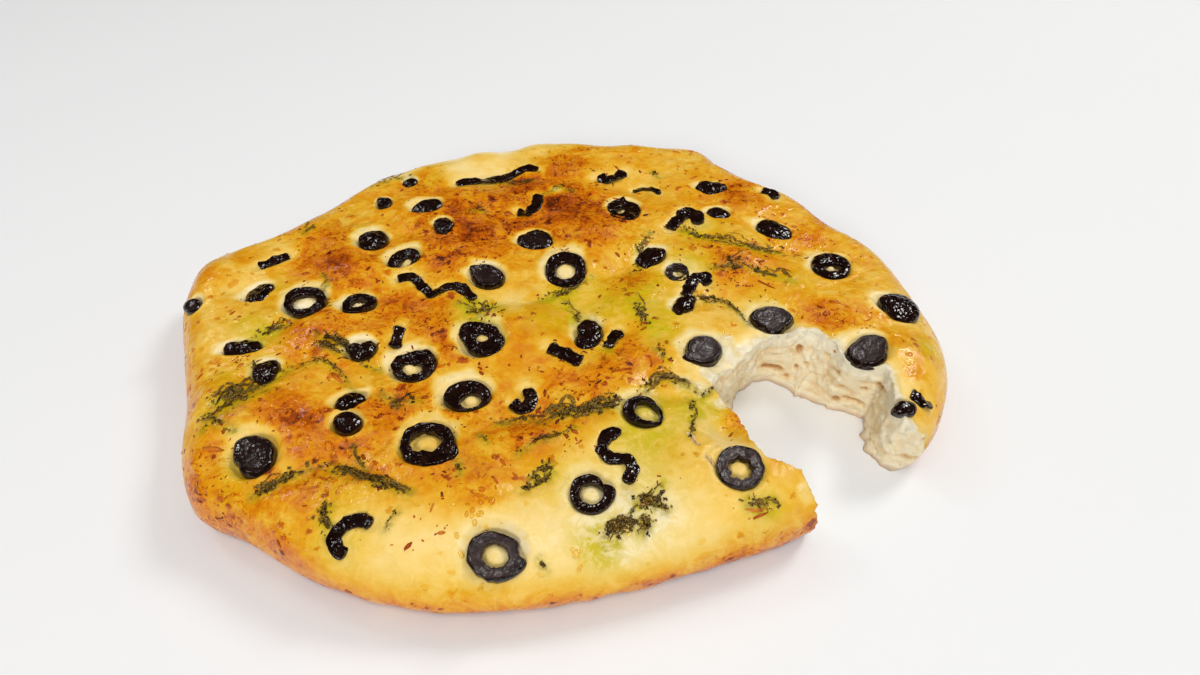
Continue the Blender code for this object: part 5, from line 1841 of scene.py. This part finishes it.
    def build(self) -> None:
        """Models every piece of olive."""
        for name, trace in zip(self.form.seats, RING_TRACES + LUMP_TRACES):
            number = int(name[-2:])
            high = LUMPS[number - 1][3] * MM if "piece" in name else self.form.olive_thick
            self.build_slice(name, high, trace)
        for number, (width, points) in enumerate(STRIPS, 1):
            self.build_strip(f"olive_strip_{number:02d}", width, points)


@dataclass
class Scatter:
    """Herbs, chilli and toasted flecks, each kind joined into one piece."""

    form: LoafForm
    loaf: Piece
    surface: BVHTree
    dresser: Dresser
    draw: np.random.Generator = field(default_factory=lambda: np.random.default_rng(23))
    speck_count: int = 1400
    frond_rows: int = 10
    frond_sides: int = 5
    olive_edge: float = 0.98
    lowest: float = 14 * MM
    steepest: float = 0.35
    pool_reach: float = 5.5

    def template(self, kind: Fleck) -> tuple[Array, Faces]:
        """Models one bit of a kind, about 1 unit across, and takes it out of the scene.

        Args:
            kind: which bit.

        Returns:
            Its corners and faces.
        """
        select_none()
        if kind is Fleck.LEAF:
            bpy.ops.mesh.primitive_circle_add(vertices=14, radius=0.5, fill_type="TRIFAN")
            bit = bpy.context.object
            bit.modifiers.new("thick", "SOLIDIFY").thickness = 0.09
            bpy.ops.object.modifier_apply(modifier="thick")
        elif kind is Fleck.STEM:
            rows = np.linspace(0, 1, self.frond_rows)
            turn = np.arange(self.frond_sides) * math.tau / self.frond_sides
            rings = [[(row, math.cos(angle), math.sin(angle)) for angle in turn] for row in rows]
            bit = wrap_rings(np.array(rings), "stem")
        elif kind is Fleck.BEAD:
            bpy.ops.mesh.primitive_uv_sphere_add(segments=8, ring_count=5, radius=0.5)
            bit = bpy.context.object
        else:
            bpy.ops.mesh.primitive_ico_sphere_add(subdivisions=1, radius=0.5)
            bit = bpy.context.object
        places = read_places(bit.data)
        faces = [tuple(face.vertices) for face in bit.data.polygons]
        bpy.data.objects.remove(bit)
        return places, faces

    def land(self, place: Array) -> Spot | None:
        """Where a plan place lies on the crust, or None where it misses the crust's top."""
        hit, normal = drop(self.surface, place)
        return None if hit is None or normal.z < self.steepest or hit.z < self.lowest else (hit, normal)

    def free_spot(self, place: Array) -> Spot | None:
        """Finds a place on the crust that no slice of olive covers.

        Args:
            place: the place in plan.

        Returns:
            The place and the crust's normal, or None.
        """
        spot = self.land(place)
        for seat in self.form.seats.values():
            if spot and seat.hole == 0 and seat.spread(spot[0].x, spot[0].y)[2] < self.olive_edge:
                return None
        return spot

    def join(self, kind: Fleck, bits: Bits, faces: Faces, material: Material) -> None:
        """Joins all the bits of a kind into one piece.

        Args:
            kind: which kind.
            bits: each bit's corners and its tone.
            faces: the faces of one bit.
            material: what they are made of.
        """
        size = len(bits[0][0])
        places = np.concatenate([bit for bit, _ in bits])
        all_faces = [tuple(corner + size * k for corner in face) for k in range(len(bits)) for face in faces]
        mesh = bpy.data.meshes.new(kind.value)
        mesh.from_pydata(places.tolist(), [], all_faces)
        mesh.update()
        piece = bpy.data.objects.new(kind.value, mesh)
        bpy.context.scene.collection.objects.link(piece)
        write_attribute(mesh, "tone", np.concatenate([np.broadcast_to(tone, size) for _, tone in bits]))
        finish_piece(piece, material, ())

    @staticmethod
    def lay_bit(shape: Array, spot: Spot, lift: float, yaw: float, tilt: float = 0.0) -> Array:
        """Lays one bit on the crust.

        Args:
            shape: its corners about the origin, in metres.
            spot: the place and the crust's normal.
            lift: how far its middle is over the crust.
            yaw: its turn in plan.
            tilt: how far it tips up from the crust.

        Returns:
            Its corners in place.
        """
        place, normal = spot
        stand = Vector((0, 0, 1)).rotation_difference(normal).to_matrix()
        turn = stand @ Matrix.Rotation(yaw, 3, "Z") @ Matrix.Rotation(tilt, 3, "Y")
        return shape @ np.array(turn).T + np.array(place + normal * lift)

    def build_herbs(self) -> None:
        """Lays wilted leaves, and threads of stem, along every strand."""
        leaf_places, leaf_faces = self.template(Fleck.LEAF)
        frond_places, frond_faces = self.template(Fleck.STEM)
        leaves: Bits = []
        fronds: Bits = []
        draw = self.draw
        for points, width, count in STRANDS:
            line = spread_points(pairs(points), 1.0)
            broad = max(1, round(count / 9))
            for number in range(broad + max(1, round(count / 5))):
                half = draw.uniform(0.16, 0.3) * MM
                if number < broad:
                    half = width * draw.uniform(0.07, 0.15) * MM
                frond = self.lay_frond(frond_places, line, width, half)
                if frond is not None:
                    fronds.append(frond)
            for _ in range(int(count * 0.5)):
                along = draw.integers(0, len(line))
                point = line[along] + draw.normal(0, 0.55, 2) * (width, width * 0.8)
                spot = self.free_spot(self.form.on_crust(point))
                if spot:
                    shape = self.leaf_shape(leaf_places, draw.uniform(0.8, 2.1) * MM)
                    tone = float(np.clip(draw.normal(0.42, 0.26), 0, 1))
                    yaw, tilt = draw.uniform(0, math.tau), draw.normal(0, 0.2)
                    leaves.append((self.lay_bit(shape, spot, 0.2 * MM, yaw, tilt), tone))
        material = self.dresser.leaf()
        self.join(Fleck.LEAF, leaves, leaf_faces, material)
        self.join(Fleck.STEM, fronds, frond_faces, material)

    def lay_frond(self, places: Array, line: Array, width: float, half: float) -> tuple[Array, Array] | None:
        """Drapes one ragged shred of leaf or stem over the crust, near a strand's line.

        Args:
            places: the shred's template: its run, and its section's two sides.
            line: the strand in photo points.
            width: the strand's width in photo points.
            half: half the shred's own width.

        Returns:
            The shred's corners and their tones, or None where it leaves the crust.
        """
        draw = self.draw
        rows = self.frond_rows
        span = draw.uniform(0.14, 0.5) * len(line)
        start = draw.uniform(0, max(len(line) - span, 0.1))
        at = np.clip(np.linspace(start, start + span, rows), 0, len(line) - 1)
        path = np.stack([np.interp(at, np.arange(len(line)), line[:, k]) for k in range(2)], axis=1)
        sway = np.linspace(0, 1, rows) * math.tau
        for k in range(2):
            bend = draw.normal(0, width * 0.3) * np.sin(sway * draw.uniform(0.3, 1.3) + draw.uniform(0, 6))
            path[:, k] += draw.normal(0, width * 0.38) + bend + draw.normal(0, 0.4, rows)
        spots = [self.land(self.form.on_crust(point)) for point in path]
        if any(spot is None for spot in spots):
            return None
        middle = np.array([spot[0] for spot in spots])
        ahead = np.gradient(middle[:, :2], axis=0)
        ahead /= np.linalg.norm(ahead, axis=1)[:, None] + TINY
        aside = np.stack([-ahead[:, 1], ahead[:, 0]], axis=1)
        taper = np.sin(np.linspace(0.3, 2.85, rows)) ** 0.7
        half = half * taper * draw.uniform(0.45, 1.5, rows)
        sides = []
        for side in (-1, 1):
            found = [self.land(place) for place in middle[:, :2] + aside * half[:, None] * side]
            sides.append([spot[0].z if spot else low for spot, low in zip(found, middle[:, 2])])
        row = np.rint(places[:, 0] * (rows - 1)).astype(int)
        across, upward = places[:, 1], places[:, 2]
        left, right = np.array(sides)[:, row]
        level = middle[row, 2]
        level = level + across * (right - left) / 2 + across ** 2 * ((right + left) / 2 - level)
        crumple = draw.uniform(0.0, 0.55, (rows, 3)) * MM
        lift = crumple[row, np.rint(across + 1).astype(int)]
        thick = np.minimum(0.16 * MM, half[row])
        spread = middle[row, :2] + aside[row] * (half[row] * across)[:, None]
        tone = draw.uniform(0.18, 0.74) + 0.16 * (1 - across ** 2) + draw.normal(0, 0.1, rows)[row]
        return np.column_stack([spread, level + 0.22 * MM + lift + thick * upward]), np.clip(tone, 0, 1)

    def leaf_shape(self, places: Array, size: float) -> Array:
        """Shapes a small lobed leaf, crumpled as it wilted.

        Args:
            places: corners of a flat disc, 1 unit across.
            size: the leaf's size in metres.

        Returns:
            The leaf's corners.
        """
        x, y, z = places.T
        draw = self.draw
        angle = np.arctan2(y, x)
        lobes = draw.integers(2, 5)
        reach = 1 + 0.38 * np.cos(lobes * angle + draw.uniform(0, 6))
        reach = reach + draw.uniform(-0.12, 0.12) * np.cos(9 * angle)
        slim = draw.uniform(0.4, 0.9)
        out = np.hypot(x, y)
        curl = draw.uniform(-0.2, 0.7) * out ** 2 + 0.16 * np.sin(x * draw.uniform(6, 12) + y * 7) * out
        return np.column_stack([x * reach, y * reach * slim, z + curl]) * size

    def build_chilli(self) -> None:
        """Lays the larger orange and red bits where the photograph has them, and smaller ones near them."""
        places, faces = self.template(Fleck.CHILLI)
        bits: Bits = []
        draw = self.draw
        for start, end, width in CHILLI_BITS:
            middle = ((start[0] + end[0]) / 2, (start[1] + end[1]) / 2)
            spot = self.land(self.form.on_crust(middle))
            if spot is None:
                continue
            run = self.form.on_crust(end) - self.form.on_crust(start)
            shape = places * (float(np.hypot(*run)), width * 0.8 * MM, 0.8 * MM)
            shape = shape * draw.uniform(0.7, 1.3, places.shape)
            shape = self.lay_bit(shape, spot, 0.1 * MM, math.atan2(run[1], run[0]))
            bits.append((shape, draw.uniform(0.3, 0.9)))
            for _ in range(4):
                near = (middle[0] + draw.normal(0, 10), middle[1] + draw.normal(0, 7))
                spot = self.free_spot(self.form.on_crust(near))
                if spot:
                    shape = places * draw.uniform(0.5, 1.5, 3) * (1, 0.6, 0.4) * MM
                    shape = self.lay_bit(shape, spot, 0.05 * MM, draw.uniform(0, 3))
                    bits.append((shape, draw.uniform(0, 1)))
        self.join(Fleck.CHILLI, bits, faces, self.dresser.bit("chilli", self.dresser.CHILLI_STOPS))

    def build_specks(self) -> None:
        """Sprinkles dark and toasted flecks in clusters, thicker where the crust is baked more."""
        places, faces = self.template(Fleck.CRUMB)
        bits: Bits = []
        draw = self.draw
        hearts = [(self.form.on_crust((x, y)), reach * 1.2, 1.5 * amount) for x, y, reach, amount in BAKED]
        for points, _, count in STRANDS:
            line = pairs(points)
            hearts.append((self.form.on_crust(line[len(line) // 2]), 16, 0.006 * count))
        while len(bits) < self.speck_count:
            heart = draw.uniform((-0.18, -0.15), (0.18, 0.15))
            weight = 0.1
            for spot, reach, amount in hearts:
                weight += amount * math.exp(-((math.dist(heart, spot) / (reach * MM)) ** 2))
            if draw.uniform() > weight:
                continue
            spread = draw.uniform(1.0, 5.0) * MM
            for _ in range(draw.integers(1, 9)):
                spot = self.free_spot(heart + draw.normal(0, spread, 2))
                if spot:
                    size = draw.uniform(0.45, 1.2) * MM * (2.0 if draw.uniform() < 0.22 else 1.0)
                    shape = places * size * (draw.uniform(0.9, 2.0), draw.uniform(0.5, 0.9), 0.32)
                    shape = shape * draw.uniform(0.6, 1.4, places.shape)
                    tone = float(np.clip(draw.normal(0.52, 0.24), 0, 1))
                    bits.append((self.lay_bit(shape, spot, 0.02 * MM, draw.uniform(0, 3)), tone))
        self.join(Fleck.CRUMB, bits, faces, self.dresser.bit("toasted_speck", self.dresser.SPECK_STOPS))

    def build_beads(self) -> None:
        """Dots the oiled and browned crust with beads of oil, in the colour of the crust below."""
        places, faces = self.template(Fleck.BEAD)
        layer = self.loaf.data.attributes["bake"].data
        bits: Bits = []
        draw = self.draw
        hearts = [(self.form.on_crust((x, y)), reach, 40 * amount) for x, y, reach, amount in BAKED]
        hearts += [(self.form.on_crust(point), reach, count) for point, reach, count in OIL_POOLS]
        for heart, reach, count in hearts:
            pool = reach < self.pool_reach
            for _ in range(max(0, round(count))):
                spot = self.free_spot(heart + draw.normal(0, 0.6 * reach * MM, 2))
                if spot:
                    size = draw.uniform(0.9, 2.2) * MM * (1.5 if pool else 1.0)
                    shape = places * size * (1.0, draw.uniform(0.5, 1.0), draw.uniform(0.28, 0.45))
                    face = self.surface.find_nearest(spot[0])[2]
                    corners = self.loaf.data.polygons[face].vertices
                    tone = float(np.mean([layer[corner].value for corner in corners])) + 0.14 * pool
                    bits.append((self.lay_bit(shape, spot, -0.05 * MM, draw.uniform(0, 3)), tone))
        self.join(Fleck.BEAD, bits, faces, self.dresser.bead())

    def build(self) -> None:
        """Lays every kind."""
        self.build_herbs()
        self.build_chilli()
        self.build_specks()
        self.build_beads()


@dataclass(frozen=True)
class Lamp:
    """A soft area light."""

    name: str
    place: tuple[float, float, float]
    size: float
    power: float
    colour: Colour = (1.0, 1.0, 1.0)
    mirrored: bool = True

    def build(self) -> None:
        """Hangs the light, aimed at the loaf."""
        bpy.ops.object.light_add(type="AREA", location=self.place)
        lamp = bpy.context.object
        lamp.name = self.name
        lamp.data.size = self.size
        lamp.data.energy = self.power
        lamp.data.color = self.colour
        lamp.visible_glossy = self.mirrored
        lamp.rotation_euler = (Vector((0, 0, 0)) - Vector(self.place)).to_track_quat("-Z", "Y").to_euler()


@dataclass
class Studio:
    """A plain pale floor, soft light and the photograph's camera."""

    floor_size: float = 12.0
    floor_colour: Colour = (0.86, 0.86, 0.86)
    ambient: float = 0.24
    lamps: tuple[Lamp, ...] = (
        Lamp("overhead_panel", (0.0, 0.5, 3.0), 4.0, 18.0, (1.0, 1.0, 1.0), False),
        Lamp("key_softbox", (1.3, 1.0, 1.7), 0.6, 18.0, (1.0, 0.99, 0.97)),
        Lamp("left_softbox", (-1.3, 0.9, 1.6), 0.3, 3.5),
        Lamp("front_softbox", (0.2, -0.9, 2.2), 0.5, 11.0),
        Lamp("front_light", (-0.4, -2.2, 1.3), 0.8, 30.0, (1.0, 1.0, 1.0), False),
    )

    def build(self) -> None:
        """Sets up the floor, the light and the camera."""
        select_none()
        bpy.ops.mesh.primitive_plane_add(size=self.floor_size, location=(0, 0, 0))
        floor = bpy.context.object
        floor.name = "pale_floor"
        material = bpy.data.materials.new("pale_floor")
        material.use_nodes = True
        shader = material.node_tree.nodes["Principled BSDF"]
        shader.inputs["Base Color"].default_value = (*self.floor_colour, 1.0)
        shader.inputs["Roughness"].default_value = 0.9
        floor.data.materials.append(material)
        world = bpy.data.worlds.new("studio")
        bpy.context.scene.world = world
        world.use_nodes = True
        world.node_tree.nodes["Background"].inputs["Color"].default_value = (1.0, 1.0, 1.0, 1.0)
        world.node_tree.nodes["Background"].inputs["Strength"].default_value = self.ambient
        world.cycles_visibility.glossy = False
        bpy.context.scene.view_settings.view_transform = "Standard"
        for lamp in self.lamps:
            lamp.build()
        VIEW.build_camera()


def main() -> None:
    """Builds the bread, the olives, the bits on the crust and the studio, in that order."""
    logging.basicConfig(level=logging.INFO, format="%(name)s %(message)s")
    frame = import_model()
    LOG.info("frame: %d nodes", len(frame["nodes"]))
    dresser = Dresser()
    form = LoafForm()
    loaf = Loaf(form).build(dresser)
    surface = BVHTree.FromObject(loaf, bpy.context.evaluated_depsgraph_get())
    Olives(form, surface, dresser.olive()).build()
    Scatter(form, loaf, surface, dresser).build()
    Studio().build()


if __name__ == "__main__":
    main()
